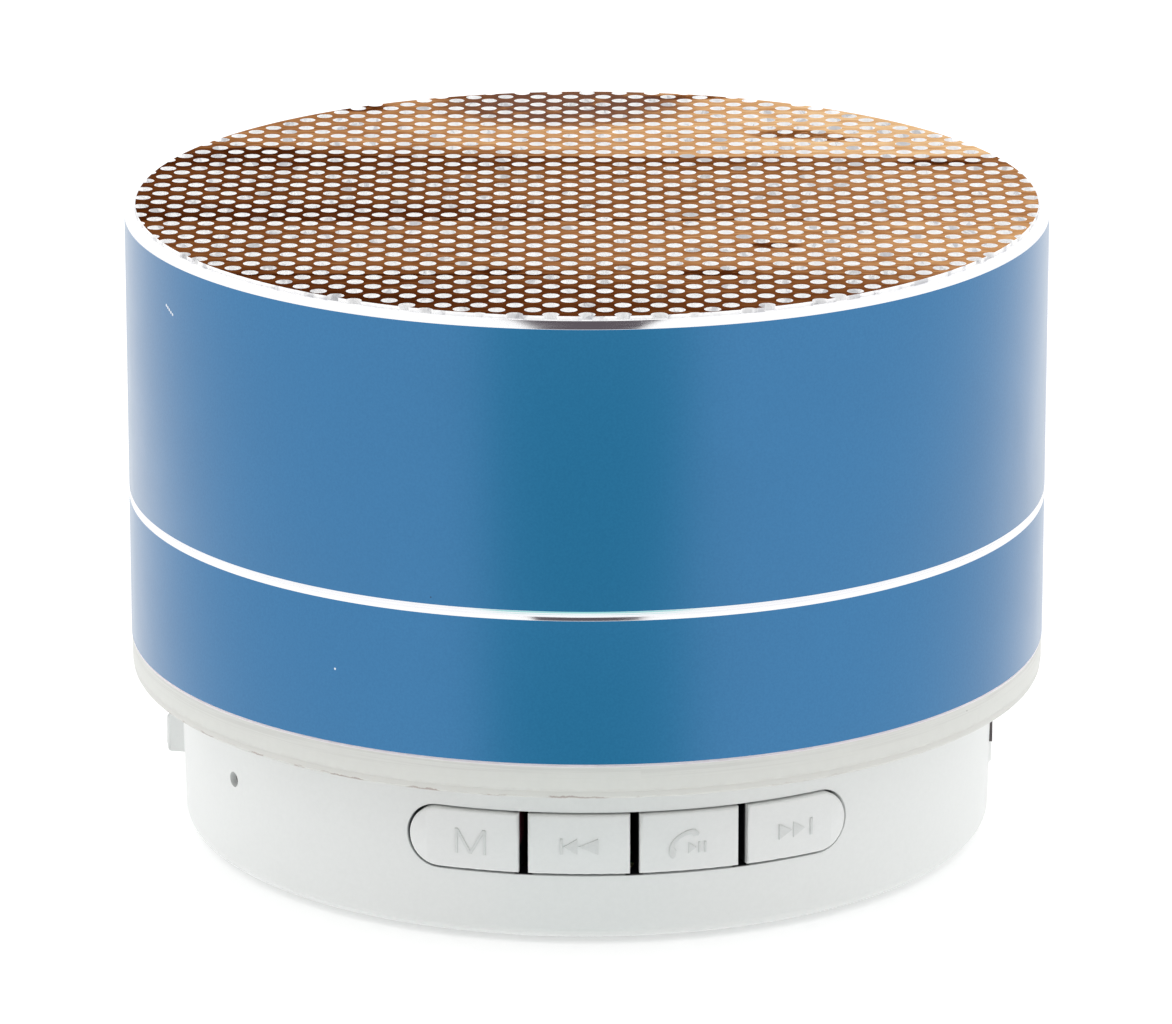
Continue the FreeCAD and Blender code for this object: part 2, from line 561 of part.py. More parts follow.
def cone_assembly():
    """Voice coil, cone and dust cap, which move together, with the surround and the spider."""
    voice_coil = new_body("voice_coil")
    outer = dim.coil_inner_radius + dim.coil_wall
    winding = outer + dim.winding_wall
    turned(voice_coil, [
        (dim.coil_inner_radius, dim.coil_low), (outer, dim.coil_low), (outer, dim.winding_low),
        (winding, dim.winding_low), (winding, dim.winding_high), (outer, dim.winding_high),
        (outer, dim.coil_high), (dim.coil_inner_radius, dim.coil_high)])
    edge_height = dim.cone_neck_height + dim.cone_rise
    cone = new_body("cone")
    turned(cone, [
        (dim.cone_neck, dim.cone_neck_height), (dim.cone_edge, edge_height),
        (dim.cone_edge, edge_height + dim.cone_wall), (dim.cone_neck, dim.cone_neck_height + dim.cone_wall)])
    slope = dim.cone_rise / (dim.cone_edge - dim.cone_neck)
    cap_low = dim.cone_neck_height + slope * (dim.cap_radius - dim.cone_neck) + dim.cone_wall
    sphere = (dim.cap_radius * dim.cap_radius + dim.cap_rise * dim.cap_rise) / (dim.cap_rise * 2)
    dust_cap = new_body("dust_cap")
    turned(dust_cap, [
        (dim.cap_radius, cap_low), (0, cap_low + dim.cap_rise),
        (0, cap_low + dim.cap_rise - dim.cap_wall), (dim.cap_radius - dim.cap_wall, cap_low)],
           arcs={0: (sphere, -1), 2: (sphere - dim.cap_wall, 1)})
    surround()
    spider()


def surround():
    """A shallow half roll between a land on the cone's edge and a land on the basket's flange."""
    body = new_body("surround")
    low = dim.ledge_top + dim.flange_thickness
    top = low + dim.roll_wall
    inner = dim.roll_middle - dim.roll_radius
    outer = dim.roll_middle + dim.roll_radius
    curve = dim.roll_radius * dim.roll_stretch
    turned(body, [
        (inner - dim.land, low), (inner + dim.roll_wall, low), (outer - dim.roll_wall, low),
        (outer + dim.land, low), (outer + dim.land, top), (outer, top), (inner, top),
        (inner - dim.land, top)],
           arcs={1: (curve - dim.roll_wall, 1), 5: (curve, -1)})


def spider():
    """A corrugated disc from the basket's shelf up to the coil's neck."""
    body = new_body("spider")
    shelf = dim.shelf_height + dim.basket_sheet
    crests = [(dim.spider_radius - dim.spider_pitch * step, shelf + dim.spider_wave * (step % 2))
              for step in range(1, SPIDER_FOLDS + 1)]
    end = (dim.cone_neck, dim.cone_neck_height - dim.spider_wall - dim.spider_gap)
    path = [(dim.spider_radius, shelf)] + crests + [end]
    above = [(radius, height + dim.spider_wall) for radius, height in reversed(path)]
    turned(body, path + above)


def foam_gasket():
    """Foam between the frame and the scrim, around the driver's flange."""
    body = new_body("foam_gasket")
    turned(body, [
        (dim.frame_inner_radius, dim.ledge_top), (dim.frame_radius, dim.ledge_top),
        (dim.frame_radius, dim.gasket_top), (dim.frame_inner_radius, dim.gasket_top)])


def terminal_strip():
    body = new_body("terminal_strip", azimuth=dim.cable_azimuth)
    inner = dim.basket_cup_radius + dim.terminal_gap
    block(body, dim.terminal_width, inner, inner + dim.terminal_thickness, dim.terminal_low,
          dim.terminal_low + dim.terminal_height)


# The keys, the power switch and the main board.

def key_placement(side, outer):
    """A key's azimuth and span, in degrees. side is -1 or 1, and outer keys have a round end."""
    if outer:
        inner_end = dim.key_split + dim.key_gap / 2
        return (inner_end + dim.key_end) / 2 * side, dim.key_end - inner_end
    return dim.key_split / 2 * side, dim.key_split - dim.key_gap


def key(label, side, outer):
    """A cap curved like the wall, with a lip behind it that keeps it in its window."""
    azimuth, span = key_placement(side, outer)
    body = new_body(label, azimuth=azimuth)
    low = dim.key_centre - dim.key_height / 2
    high = dim.key_centre + dim.key_height / 2
    turned(body, [
        (dim.lip_face, low), (dim.key_face, low), (dim.key_face, high), (dim.lip_face, high)], span=span)
    if outer:
        soften(body, dim.key_height / 2 - dim.end_slack, on_azimuth(span.value / 2 * side))
    soften(body, dim.key_softening, lambda edge: all(
        abs(math.hypot(vertex.X, vertex.Y) - dim.key_face.value) < 1e-3 for vertex in edge.Vertexes))
    extra = dim.key_lip * 2 if outer else to_size(0.0)
    turned(body, [
        (dim.key_back, low - dim.key_lip), (dim.lip_face, low - dim.key_lip),
        (dim.lip_face, high + dim.key_lip), (dim.key_back, high + dim.key_lip)],
           span=span + extra, azimuth=extra.value / 2 * side)


def plunger(label, side, outer):
    body = new_body(label, azimuth=key_placement(side, outer)[0])
    plug(body, dim.plunger_radius, dim.tact_face - dim.plunger_inset, dim.plunger_end, dim.key_centre)


def tact_switches():
    """Four upright push switches on the board's front edge, one behind each key."""
    body = new_body("tact_switches")
    for _, side, outer in KEYS:
        azimuth = key_placement(side, outer)[0]
        block(body, dim.tact_width, dim.tact_face - dim.tact_depth, dim.tact_face, dim.board_top,
              dim.board_top + dim.tact_height, azimuth=azimuth)
        plug(body, dim.plunger_radius + dim.plunger_clearance, dim.tact_face - dim.plunger_bore_depth,
             dim.tact_face, dim.key_centre, azimuth=azimuth, cut=True)


def power_switch():
    """The slide switch on the board, and the knob that stands at the front end of its stroke."""
    switch = new_body("slide_switch", azimuth=dim.switch_azimuth)
    block(switch, dim.switch_width, dim.switch_back, dim.switch_face, dim.board_top, dim.switch_top)
    block(switch, dim.lever_width + dim.switch_stroke + dim.lever_play, dim.lever_end - dim.lever_room,
          dim.switch_face, dim.lever_low - dim.lever_room / 2, dim.lever_high + dim.lever_room / 2, cut=True)
    knob = new_body("power_knob", azimuth=dim.switch_azimuth, shift=dim.switch_stroke / 2)
    block(knob, dim.knob_width, dim.knob_plate_face, dim.knob_face, dim.knob_low, dim.knob_high)
    soften(knob, dim.knob_softening, lambda edge: all(
        abs(vertex.Y + dim.knob_face.value) < 1e-4 for vertex in edge.Vertexes))
    block(knob, dim.knob_plate_width, dim.knob_plate_back, dim.knob_plate_face, dim.knob_plate_low,
          dim.knob_plate_high)
    block(knob, dim.lever_width, dim.lever_end, dim.knob_plate_back, dim.lever_low, dim.lever_high)


def main_board():
    """The round board, with holes for the posts and notches for the keys and the knob's plate."""
    body = new_body("main_board")
    columns(body, [(0.0, 0.0)], dim.board_radius, dim.board_low, dim.board_top)
    posts = [(dim.post_circle, azimuth) for azimuth in CASE_POSTS]
    columns(body, posts, dim.post_radius + dim.post_clearance, dim.board_low, dim.board_top, cut=True)
    screws = [(dim.board_screw_circle, azimuth) for azimuth in BOARD_SCREWS]
    columns(body, screws, dim.board_bore, dim.board_low, dim.board_top, cut=True)
    low = dim.board_low - dim.cut_margin
    high = dim.board_top + dim.cut_margin
    for azimuth, span, depth in ((0.0, dim.key_notch_span, dim.key_back - dim.key_lip),
                                 (dim.switch_azimuth, dim.switch_notch_span, dim.board_notch)):
        turned(body, [(depth, low), (dim.sleeve_radius, low), (dim.sleeve_radius, high), (depth, high)],
               span=span, azimuth=azimuth, cut=True)


# The sockets and the microphone, each at its azimuth.

def audio_jack():
    body = new_body("audio_jack", azimuth=dim.jack_azimuth)
    block(body, dim.jack_width, dim.jack_back, dim.jack_face, dim.board_top, dim.board_top + dim.jack_height)
    centre = dim.board_top + dim.jack_height / 2
    plug(body, dim.barrel_radius - dim.barrel_inset, dim.jack_face, dim.barrel_face, centre)
    plug(body, dim.jack_bore, dim.jack_bore_end, dim.barrel_face, centre, cut=True)


def usb_outline(inset):
    """The socket's section: flat on top, with sloping lower corners."""
    half = dim.usb_width / 2 - inset
    low = dim.board_top + inset
    high = dim.board_top + dim.usb_height - inset
    slope = dim.usb_height * dim.usb_slope
    return [(-half, high), (-half, low + slope), (-half + slope, low), (half - slope, low),
            (half, low + slope), (half, high)]


def usb_socket():
    shell = new_body("usb_shell", azimuth=dim.usb_azimuth)
    prism(shell, usb_outline(to_size(0.0)), dim.usb_back, dim.usb_face)
    prism(shell, usb_outline(dim.usb_sheet), dim.usb_back + dim.usb_sheet, dim.usb_face, cut=True)
    tongue = new_body("usb_tongue", azimuth=dim.usb_azimuth)
    middle = dim.board_top + dim.usb_height / 2
    back = dim.usb_back + dim.usb_sheet
    prism(tongue, usb_outline(dim.usb_sheet + dim.usb_slack), back, back + dim.usb_base_depth)
    block(tongue, dim.usb_tongue_width, back + dim.usb_base_depth, dim.usb_face - dim.usb_tongue_inset,
          middle, middle + dim.usb_tongue_height)


def card_socket():
    base = new_body("card_base", azimuth=dim.card_azimuth)
    top = dim.board_top + dim.card_base
    high = dim.board_top + dim.card_height
    nose_high = high - dim.card_sheet - dim.nose_gap
    middle = (top + nose_high) / 2
    block(base, dim.card_width - dim.card_sheet * 2 - dim.card_slack, dim.card_back + dim.card_sheet,
          dim.card_face, dim.board_top, top)
    block(base, dim.nose_width, dim.nose_back, dim.nose_face, top, nose_high)
    block(base, dim.card_slit, dim.nose_back, dim.nose_face, middle - dim.slit_height / 2,
          middle + dim.slit_height / 2, cut=True)
    cover = new_body("card_cover", azimuth=dim.card_azimuth)
    block(cover, dim.card_width, dim.card_back, dim.card_face, dim.board_top, high)
    block(cover, dim.card_width - dim.card_sheet * 2, dim.card_back + dim.card_sheet, dim.card_face,
          dim.board_top, high - dim.card_sheet, cut=True)


def microphone():
    capsule = new_body("mic_capsule", azimuth=dim.mic_azimuth)
    plug(capsule, dim.mic_radius, dim.mic_back, dim.mic_front, dim.mic_height)
    boot = new_body("mic_boot", azimuth=dim.mic_azimuth)
    plug(boot, dim.boot_radius, dim.mic_back, dim.boot_front, dim.mic_height)
    plug(boot, dim.mic_radius + dim.mic_slack, dim.mic_back, dim.mic_front, dim.mic_height, cut=True)
    plug(boot, dim.mic_hole - dim.mic_slack, dim.boot_front, dim.boot_nose, dim.mic_height)
    plug(boot, dim.mic_bore, dim.mic_front, dim.boot_nose, dim.mic_height, cut=True)


# Small parts on the board.

def chip(label):
    """A flat package: its corner, length, width and height stand in the sheet under its name."""
    box = doc.addObject("Part::Box", label)
    box.Label = label
    corner_x, corner_y, length, width, height = (getattr(dim, f"{label}_{part}") for part in CHIP_PARTS)
    box.Placement = Placement(Vector(corner_x.value, corner_y.value, dim.board_top.value), Rotation())
    for path, size in (("Length", length), ("Width", width), ("Height", height),
                       ("Placement.Base.x", corner_x), ("Placement.Base.y", corner_y),
                       ("Placement.Base.z", dim.board_top)):
        box.setExpression(path, size.text)


def passives():
    """A row of small resistors and ceramics beside the chips."""
    body = new_body("passives")
    sketch = new_sketch(body, offset=dim.board_top)
    for number in range(PASSIVE_COUNT):
        left = dim.passive_left + dim.passive_pitch * number
        draw_box(sketch, left, left + dim.passive_width, dim.passive_front,
                 dim.passive_front + dim.passive_length)
    raised(body, sketch, dim.passive_height)


def capacitors():
    body = new_body("capacitors")
    columns(body, CANS, dim.can_radius, dim.board_top, dim.board_top + dim.can_height)


def status_lamps():
    body = new_body("status_lamps")
    for azimuth in LAMPS:
        block(body, dim.lamp_width, dim.lamp_back, dim.lamp_front, dim.board_top,
              dim.board_top + dim.lamp_height, azimuth=azimuth)


# Battery, wires and screws.

def battery():
    cell = new_body("battery_cell")
    top = dim.tongue_top - dim.tape_thickness
    half_length = dim.battery_length / 2
    half_width = dim.battery_width / 2
    sketch = new_sketch(cell, offset=top - dim.battery_height)
    draw_box(sketch, -half_length, half_length, -half_width, half_width)
    raised(cell, sketch, dim.battery_height)
    length = dim.battery_length.value
    soften(cell, dim.battery_corner, lambda edge: abs(edge.BoundBox.XLength - length) < 1e-3)
    tape = new_body("battery_tape")
    sketch = new_sketch(tape, offset=top)
    draw_box(sketch, -half_length + dim.tape_inset, half_length - dim.tape_inset,
             -half_width + dim.tape_side_inset, half_width - dim.tape_side_inset)
    raised(tape, sketch, dim.tape_thickness)


def run_of_wire(points, radius):
    """A round wire along straight runs that are joined by tangent arcs."""
    edges = []
    start = points[0]
    turn_radii = []
    for before, corner, after in zip(points, points[1:], points[2:]):
        arriving = (corner - before).normalize()
        leaving = (after - corner).normalize()
        half_turn = arriving.getAngle(leaving) / 2
        shorter = min((corner - before).Length, (after - corner).Length)
        cut_back = ARC_SHARE * shorter
        turn_radii.append(cut_back / math.tan(half_turn))
        first = corner - arriving * cut_back
        last = corner + leaving * cut_back
        inward = (leaving - arriving).normalize()
        reach = turn_radii[-1] / math.cos(half_turn) - turn_radii[-1]
        edges.append(Part.LineSegment(start, first).toShape())
        edges.append(Part.Arc(first, corner + inward * reach, last).toShape())
        start = last
    edges.append(Part.LineSegment(start, points[-1]).toShape())
    path = Part.Wire(edges)
    profile = Part.Wire(Part.makeCircle(radius, points[0], points[1] - points[0]))
    tube = path.makePipeShell([profile], True, True)
    expected = math.pi * radius ** 2 * path.Length
    radii = ", ".join(f"{value:.1f}" for value in turn_radii)
    print(f"wire: length {path.Length:.1f}, volume {tube.Volume:.2f} of {expected:.2f}, turn radii {radii}")
    return tube


def battery_wires():
    """Two wires from the cell's left end down to the board."""
    exit_height = dim.tongue_top.value - dim.tape_thickness.value - dim.battery_height.value / 2
    left = -dim.battery_length.value / 2
    corner = left - dim.battery_wire_run.value
    for label, y in BATTERY_WIRES:
        points = [Vector(left, y, exit_height), Vector(corner, y, exit_height),
                  Vector(corner, y, dim.board_top.value)]
        shape_node(label, run_of_wire(points, dim.wire_radius.value))


def speaker_wires():
    """Two wires from the board, through the frame's plate, up to the terminal strip."""
    end = (dim.basket_cup_radius + dim.terminal_gap + dim.terminal_thickness + dim.wire_end_gap).value
    middle = dim.terminal_low.value + dim.terminal_height.value / 2
    bend = dim.terminal_low.value - dim.speaker_wire_drop.value
    turn = Rotation(Vector(0, 0, 1), dim.cable_azimuth.value)
    for label, across in SPEAKER_WIRES:
        points = [Vector(across, -dim.cable_circle.value, dim.board_top.value),
                  Vector(across, -dim.cable_circle.value, bend),
                  Vector(across, -end, middle)]
        shape_node(label, run_of_wire([turn.multVec(point) for point in points], dim.wire_radius.value))


def tinsel_leads():
    """Two flexible leads from the terminal strip, past the spider shelf, to the back of the cone."""
    start = -(dim.basket_cup_radius + dim.terminal_gap * 2 + dim.terminal_thickness).value
    outer = -dim.tinsel_circle.value
    slope = dim.cone_rise / (dim.cone_edge - dim.cone_neck)
    end = (dim.cone_neck_height + slope * (dim.tinsel_join - dim.cone_neck) - dim.tinsel_gap).value
    turn = Rotation(Vector(0, 0, 1), dim.cable_azimuth.value)
    leads = []
    for across in (-dim.tinsel_spread.value, dim.tinsel_spread.value):
        points = [Vector(across, start, dim.tinsel_start.value), Vector(across, outer, dim.tinsel_low.value),
                  Vector(across, outer, dim.tinsel_high.value), Vector(across, -dim.tinsel_join.value, end)]
        leads.append(run_of_wire([turn.multVec(point) for point in points], dim.lead_radius.value))
    shape_node("tinsel_leads", Part.makeCompound(leads))


def screws(label, places, seat, direction, shank, head, head_height, length):
    """Pan-head screws at (circle, azimuth) places: heads on one side of the seat, shanks on the other."""
    body = new_body(label)
    if direction > 0:
        columns(body, places, head, seat - head_height, seat)
        columns(body, places, shank, seat, seat + length)
    else:
        columns(body, places, head, seat, seat + head_height)
        columns(body, places, shank, seat - length, seat)


def all_screws():
    screws("case_screws", [(dim.post_circle, azimuth) for azimuth in CASE_POSTS], dim.screw_seat, 1,
           dim.case_shank, dim.case_head, dim.case_head_height, dim.case_length)
    screws("board_screws", [(dim.board_screw_circle, azimuth) for azimuth in BOARD_SCREWS], dim.board_top, -1,
           dim.small_shank, dim.small_head, dim.small_head_height, dim.small_length)
    screws("driver_screws", driver_screw_places(), dim.ledge_top + dim.flange_thickness, -1,
           dim.driver_shank, dim.driver_head, dim.driver_head_height, dim.ledge_depth)


def build():
    foot_pad()
    base_shell()
    light_ring()
    body_sleeve()
    grille()
    dust_scrim()
    inner_frame()
    foam_gasket()
    driver_basket()
    motor()
    cone_assembly()
    terminal_strip()
    for label, side, outer in KEYS:
        key(label + "_key", side, outer)
        plunger(label + "_plunger", side, outer)
    tact_switches()
    power_switch()
    main_board()
    audio_jack()
    usb_socket()
    card_socket()
    microphone()
    for label in CHIPS:
        chip(label)
    passives()
    capacitors()
    status_lamps()
    battery()
    battery_wires()
    speaker_wires()
    tinsel_leads()
    all_screws()
    doc.recompute()


def sub_parts():
    return [item for item in doc.Objects
            if item.TypeId in ("PartDesign::Body", "Part::Box")
            or (item.TypeId == "Part::Feature" and not item.InList)]


def check_and_write():
    """Refuses failed objects and broken shapes, then writes one STEP file per sub-part."""
    for item in doc.Objects:
        if "Invalid" in item.State or "Error" in item.State:
            raise RuntimeError(f"{item.Label} failed: {item.State}")
    parts = sub_parts()
    for item in parts:
        if item.Shape.isNull() or not item.Shape.isValid() or item.Shape.Volume <= 0:
            raise RuntimeError(f"{item.Label} has no sound shape")
    os.makedirs("parts", exist_ok=True)
    for item in parts:
        item.Shape.exportStep(os.path.join("parts", item.Label + ".step"))
        box = item.Shape.BoundBox
        print(f"{item.Label:24s} {len(item.Shape.Solids)} solid(s), {item.Shape.Volume:9.2f} mm3, "
              f"z {box.ZMin:6.2f} to {box.ZMax:6.2f}")
    print(len(parts), "sub-parts")


build()
check_and_write()
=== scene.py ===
import bmesh
import bpy
import json
import math
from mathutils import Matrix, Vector


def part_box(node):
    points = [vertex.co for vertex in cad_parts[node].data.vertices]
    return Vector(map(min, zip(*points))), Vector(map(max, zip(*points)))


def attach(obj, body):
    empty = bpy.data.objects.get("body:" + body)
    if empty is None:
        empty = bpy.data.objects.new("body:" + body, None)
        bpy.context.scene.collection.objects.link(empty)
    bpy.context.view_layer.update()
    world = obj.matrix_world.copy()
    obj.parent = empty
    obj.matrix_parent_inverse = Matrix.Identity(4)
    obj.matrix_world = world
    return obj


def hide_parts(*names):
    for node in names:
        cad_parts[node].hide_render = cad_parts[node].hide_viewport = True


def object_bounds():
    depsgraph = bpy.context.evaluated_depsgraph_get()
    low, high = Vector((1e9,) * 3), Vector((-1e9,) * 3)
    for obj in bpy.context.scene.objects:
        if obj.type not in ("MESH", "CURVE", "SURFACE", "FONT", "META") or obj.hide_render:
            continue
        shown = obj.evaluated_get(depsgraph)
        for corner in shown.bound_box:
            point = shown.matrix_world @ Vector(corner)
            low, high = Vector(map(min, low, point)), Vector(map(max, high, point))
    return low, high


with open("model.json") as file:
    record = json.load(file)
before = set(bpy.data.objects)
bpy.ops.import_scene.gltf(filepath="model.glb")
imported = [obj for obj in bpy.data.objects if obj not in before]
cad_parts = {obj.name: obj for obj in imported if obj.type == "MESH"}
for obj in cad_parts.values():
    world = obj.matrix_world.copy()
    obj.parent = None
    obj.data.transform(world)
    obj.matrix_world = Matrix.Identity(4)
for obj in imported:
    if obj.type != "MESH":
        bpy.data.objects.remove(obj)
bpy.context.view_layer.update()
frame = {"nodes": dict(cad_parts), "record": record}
nodes = frame["nodes"]
mm = 0.001
nearAxis = 0.1 * mm  # lathe profiles of solid pieces start this near the axis
bpy.context.scene.view_settings.view_transform = "Standard"
print("frame loaded:", len(nodes), "nodes")


# Small tools for shaping pieces.

def clearSelection():
    if bpy.context.mode != "OBJECT":
        bpy.ops.object.mode_set(mode="OBJECT")
    bpy.ops.object.select_all(action="DESELECT")


def takePiece(piece):
    clearSelection()
    piece.select_set(True)
    bpy.context.view_layer.objects.active = piece


def nameNewest(name):
    piece = bpy.context.object
    piece.name = name
    piece.data.name = name
    return piece


def openMesh(piece, chosen="DESELECT"):
    takePiece(piece)
    bpy.ops.object.mode_set(mode="EDIT")
    bpy.ops.mesh.select_all(action=chosen)


def closeMesh():
    bpy.ops.object.mode_set(mode="OBJECT")


def pickEdges(piece, test, amongPicked=False):  # test takes an edge's two ends
    bpy.ops.mesh.select_mode(type="EDGE")
    work = bmesh.from_edit_mesh(piece.data)
    for edge in work.edges:
        allowed = edge.select or not amongPicked
        edge.select_set(bool(allowed and test(edge.verts[0].co, edge.verts[1].co)))
    bmesh.update_edit_mesh(piece.data)


def pickSharp(degrees):
    bpy.ops.mesh.select_all(action="DESELECT")
    bpy.ops.mesh.select_mode(type="EDGE")
    bpy.ops.mesh.edges_select_sharp(sharpness=math.radians(degrees))


def bevelPicked(width, segments, clamp=False):
    bpy.ops.mesh.bevel(offset=width, segments=segments, affect="EDGES", clamp_overlap=clamp)


def onRings(rings, slack=0.02 * mm):  # a test for edges that lie along any of these (radius, height) rings
    def near(end):
        radius = math.hypot(end.x, end.y)
        return {number for number, (wanted, height) in enumerate(rings)
                if abs(radius - wanted) < slack and abs(end.z - height) < slack}
    return lambda first, second: near(first) & near(second)


def settle(piece):
    takePiece(piece)
    bpy.ops.object.transform_apply(location=True, rotation=True, scale=True)
    return piece


def turnTo(piece, azimuth):
    piece.rotation_euler.z = math.radians(azimuth)
    return settle(piece)


def cleanMesh(piece, outward=True):
    openMesh(piece, "SELECT")
    bpy.ops.mesh.remove_doubles(threshold=0.001 * mm)
    if outward:
        bpy.ops.mesh.normals_make_consistent(inside=False)
    closeMesh()
    return piece


def smoothPiece(piece, degrees=32):
    takePiece(piece)
    bpy.ops.object.shade_smooth_by_angle(angle=math.radians(degrees))
    return piece


def applyModifier(piece, kind, **settings):
    takePiece(piece)
    modifier = piece.modifiers.new(kind.title(), kind)
    for name, value in settings.items():
        setattr(modifier, name, value)
    bpy.ops.object.modifier_apply(modifier=modifier.name)
    return piece


def steadyOrder(piece):  # edit operators can shuffle a mesh from run to run, and cuts and merges follow its order
    slant = Vector((1.0, 0.617, 0.283))
    work = bmesh.new()
    work.from_mesh(piece.data)
    work.verts.sort(key=lambda point: point.co.dot(slant))
    work.edges.sort(key=lambda edge: (edge.verts[0].co + edge.verts[1].co).dot(slant))
    work.faces.sort(key=lambda face: face.calc_center_median().dot(slant))
    work.to_mesh(piece.data)
    work.free()


def cutAway(piece, cutters):
    for part in (piece, *cutters):
        steadyOrder(part)
    for cutter in cutters:
        applyModifier(piece, "BOOLEAN", operation="DIFFERENCE", object=cutter, solver="EXACT")
        bpy.data.objects.remove(cutter)
    return piece


def joinPieces(pieces, name):
    takePiece(pieces[0])
    for piece in pieces[1:]:
        piece.select_set(True)
    if len(pieces) > 1:
        bpy.ops.object.join()
    return nameNewest(name)


def copyNode(node, name):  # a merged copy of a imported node, to be refined
    clearSelection()
    piece = nodes[node].copy()
    piece.data = nodes[node].data.copy()
    piece.parent = None
    for key in list(piece.keys()):
        del piece[key]
    bpy.context.scene.collection.objects.link(piece)
    piece.name = name
    piece.data.name = name
    return cleanMesh(piece, outward=False)


def turnPiece(name, rings, segments=256, closed=True):  # a lathe: each (radius, height) ring is drawn on
    radius, height = rings[0]
    clearSelection()
    bpy.ops.mesh.primitive_circle_add(vertices=segments, radius=radius, location=(0, 0, height))
    piece = settle(nameNewest(name))
    openMesh(piece, "SELECT")
    for nextRadius, nextHeight in rings[1:]:
        bpy.ops.mesh.extrude_edges_move(TRANSFORM_OT_translate={"value": (0, 0, nextHeight - height)})
        share = nextRadius / radius
        bpy.ops.transform.resize(value=(share, share, 1), center_override=(0, 0, nextHeight))
        radius, height = nextRadius, nextHeight
    if closed:
        pickEdges(piece, onRings([rings[0], rings[-1]]))
        bpy.ops.mesh.bridge_edge_loops()
    else:
        for end in (rings[0], rings[-1]):
            pickEdges(piece, onRings([end], 0.005 * mm))
            bpy.ops.mesh.merge(type="CENTER")
    closeMesh()
    return cleanMesh(piece)


def bevelRings(piece, rings, width, segments=2):
    openMesh(piece)
    pickEdges(piece, onRings(rings))
    bevelPicked(width, segments, clamp=True)
    closeMesh()
    return piece


def blockPiece(name, size, place, azimuth=0.0, corner=0.0):
    # a box that faces an azimuth: size is (across, deep, high), place is (sideways, radius, height) of its centre
    clearSelection()
    bpy.ops.mesh.primitive_cube_add(size=1, location=(place[0], -place[1], place[2]))
    piece = nameNewest(name)
    piece.scale = size
    settle(piece)
    if corner:
        openMesh(piece)
        pickEdges(piece, lambda first, second: abs(first.y - second.y) > size[1] / 2)
        bevelPicked(corner, 4)
        closeMesh()
    return turnTo(piece, azimuth)


def inRow(row):  # sideways places of a row, centred on 0
    return [(number - (row["count"] - 1) / 2) * row["pitch"] for number in range(row["count"])]


def rodPiece(name, radius, near, far, height, azimuth=0.0, segments=48, sideways=0.0):
    # a round rod that points at an azimuth
    clearSelection()
    bpy.ops.mesh.primitive_cylinder_add(vertices=segments, radius=radius, depth=far - near,
                                        location=(sideways, -(near + far) / 2, height),
                                        rotation=(math.pi / 2, 0, 0))
    return turnTo(settle(nameNewest(name)), azimuth)


def dress(piece, body, slotName, replaced=(), finish=None):
    piece.data.materials.clear()
    piece.data.materials.append(finish or finishes[slotName])
    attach(piece, body)
    if replaced:
        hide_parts(*replaced)
    return piece


def paintFaces(piece, finish, test):  # a second finish on the faces that a test picks
    piece.data.materials.append(finish)
    for face in piece.data.polygons:
        if test(face.center, face.normal):
            face.material_index = len(piece.data.materials) - 1


# Small tools for nodes.

def addNode(tree, kind, inputs=None, **settings):
    node = tree.nodes.new("ShaderNode" + kind)
    for name, value in settings.items():
        setattr(node, name, value)
    for name, value in (inputs or {}).items():
        if isinstance(value, bpy.types.NodeSocket):
            tree.links.new(value, node.inputs[name])
        else:
            node.inputs[name].default_value = value
    return node


def calc(tree, operation, first, second=0.0, third=0.0, clamp=False):
    inputs = {0: first, 1: second, 2: third}
    return addNode(tree, "Math", inputs, operation=operation, use_clamp=clamp).outputs[0]


def times(tree, first, second):
    return calc(tree, "MULTIPLY", first, second)


def timesPlus(tree, first, second, third, clamp=False):
    return calc(tree, "MULTIPLY_ADD", first, second, third, clamp)


def fade(tree, value, low, high, start=0.0, end=1.0):  # a soft step from start to end
    inputs = {"Value": value, "From Min": low, "From Max": high, "To Min": start, "To Max": end}
    return addNode(tree, "MapRange", inputs, interpolation_type="SMOOTHSTEP").outputs[0]


def mixColours(tree, mask, first, second, mode="MIX"):
    node = addNode(tree, "Mix", data_type="RGBA", blend_type=mode)
    for socket, value in ((node.inputs[0], mask), (node.inputs[6], first), (node.inputs[7], second)):
        if isinstance(value, bpy.types.NodeSocket):
            tree.links.new(value, socket)
        elif isinstance(value, (int, float)):
            socket.default_value = value
        else:
            socket.default_value = (*value, 1.0)
    return node.outputs[2]


def startGroup(name, inputs, outputs):
    group = bpy.data.node_groups.new(name, "ShaderNodeTree")
    for label, value in inputs.items():
        socket = group.interface.new_socket(name=label, in_out="INPUT", socket_type="NodeSocketFloat")
        socket.default_value = value
    for label, kind in outputs.items():
        group.interface.new_socket(name=label, in_out="OUTPUT", socket_type=kind)
    return group, group.nodes.new("NodeGroupInput"), group.nodes.new("NodeGroupOutput")


def useGroup(tree, group, **values):
    node = tree.nodes.new("ShaderNodeGroup")
    node.node_tree = group
    for name, value in values.items():
        node.inputs[name].default_value = value
    return node


def maskOf(tree, group, **values):
    return useGroup(tree, group, **values).outputs["Mask"]


def newMaterial(name, settings):  # settings go straight to the shader's own sockets
    material = bpy.data.materials.new(name)
    material.use_nodes = True
    shader = material.node_tree.nodes["Principled BSDF"]
    for label, value in settings.items():
        shader.inputs[label].default_value = value
    return material, material.node_tree, shader


# The stage: camera, studio light and floor.

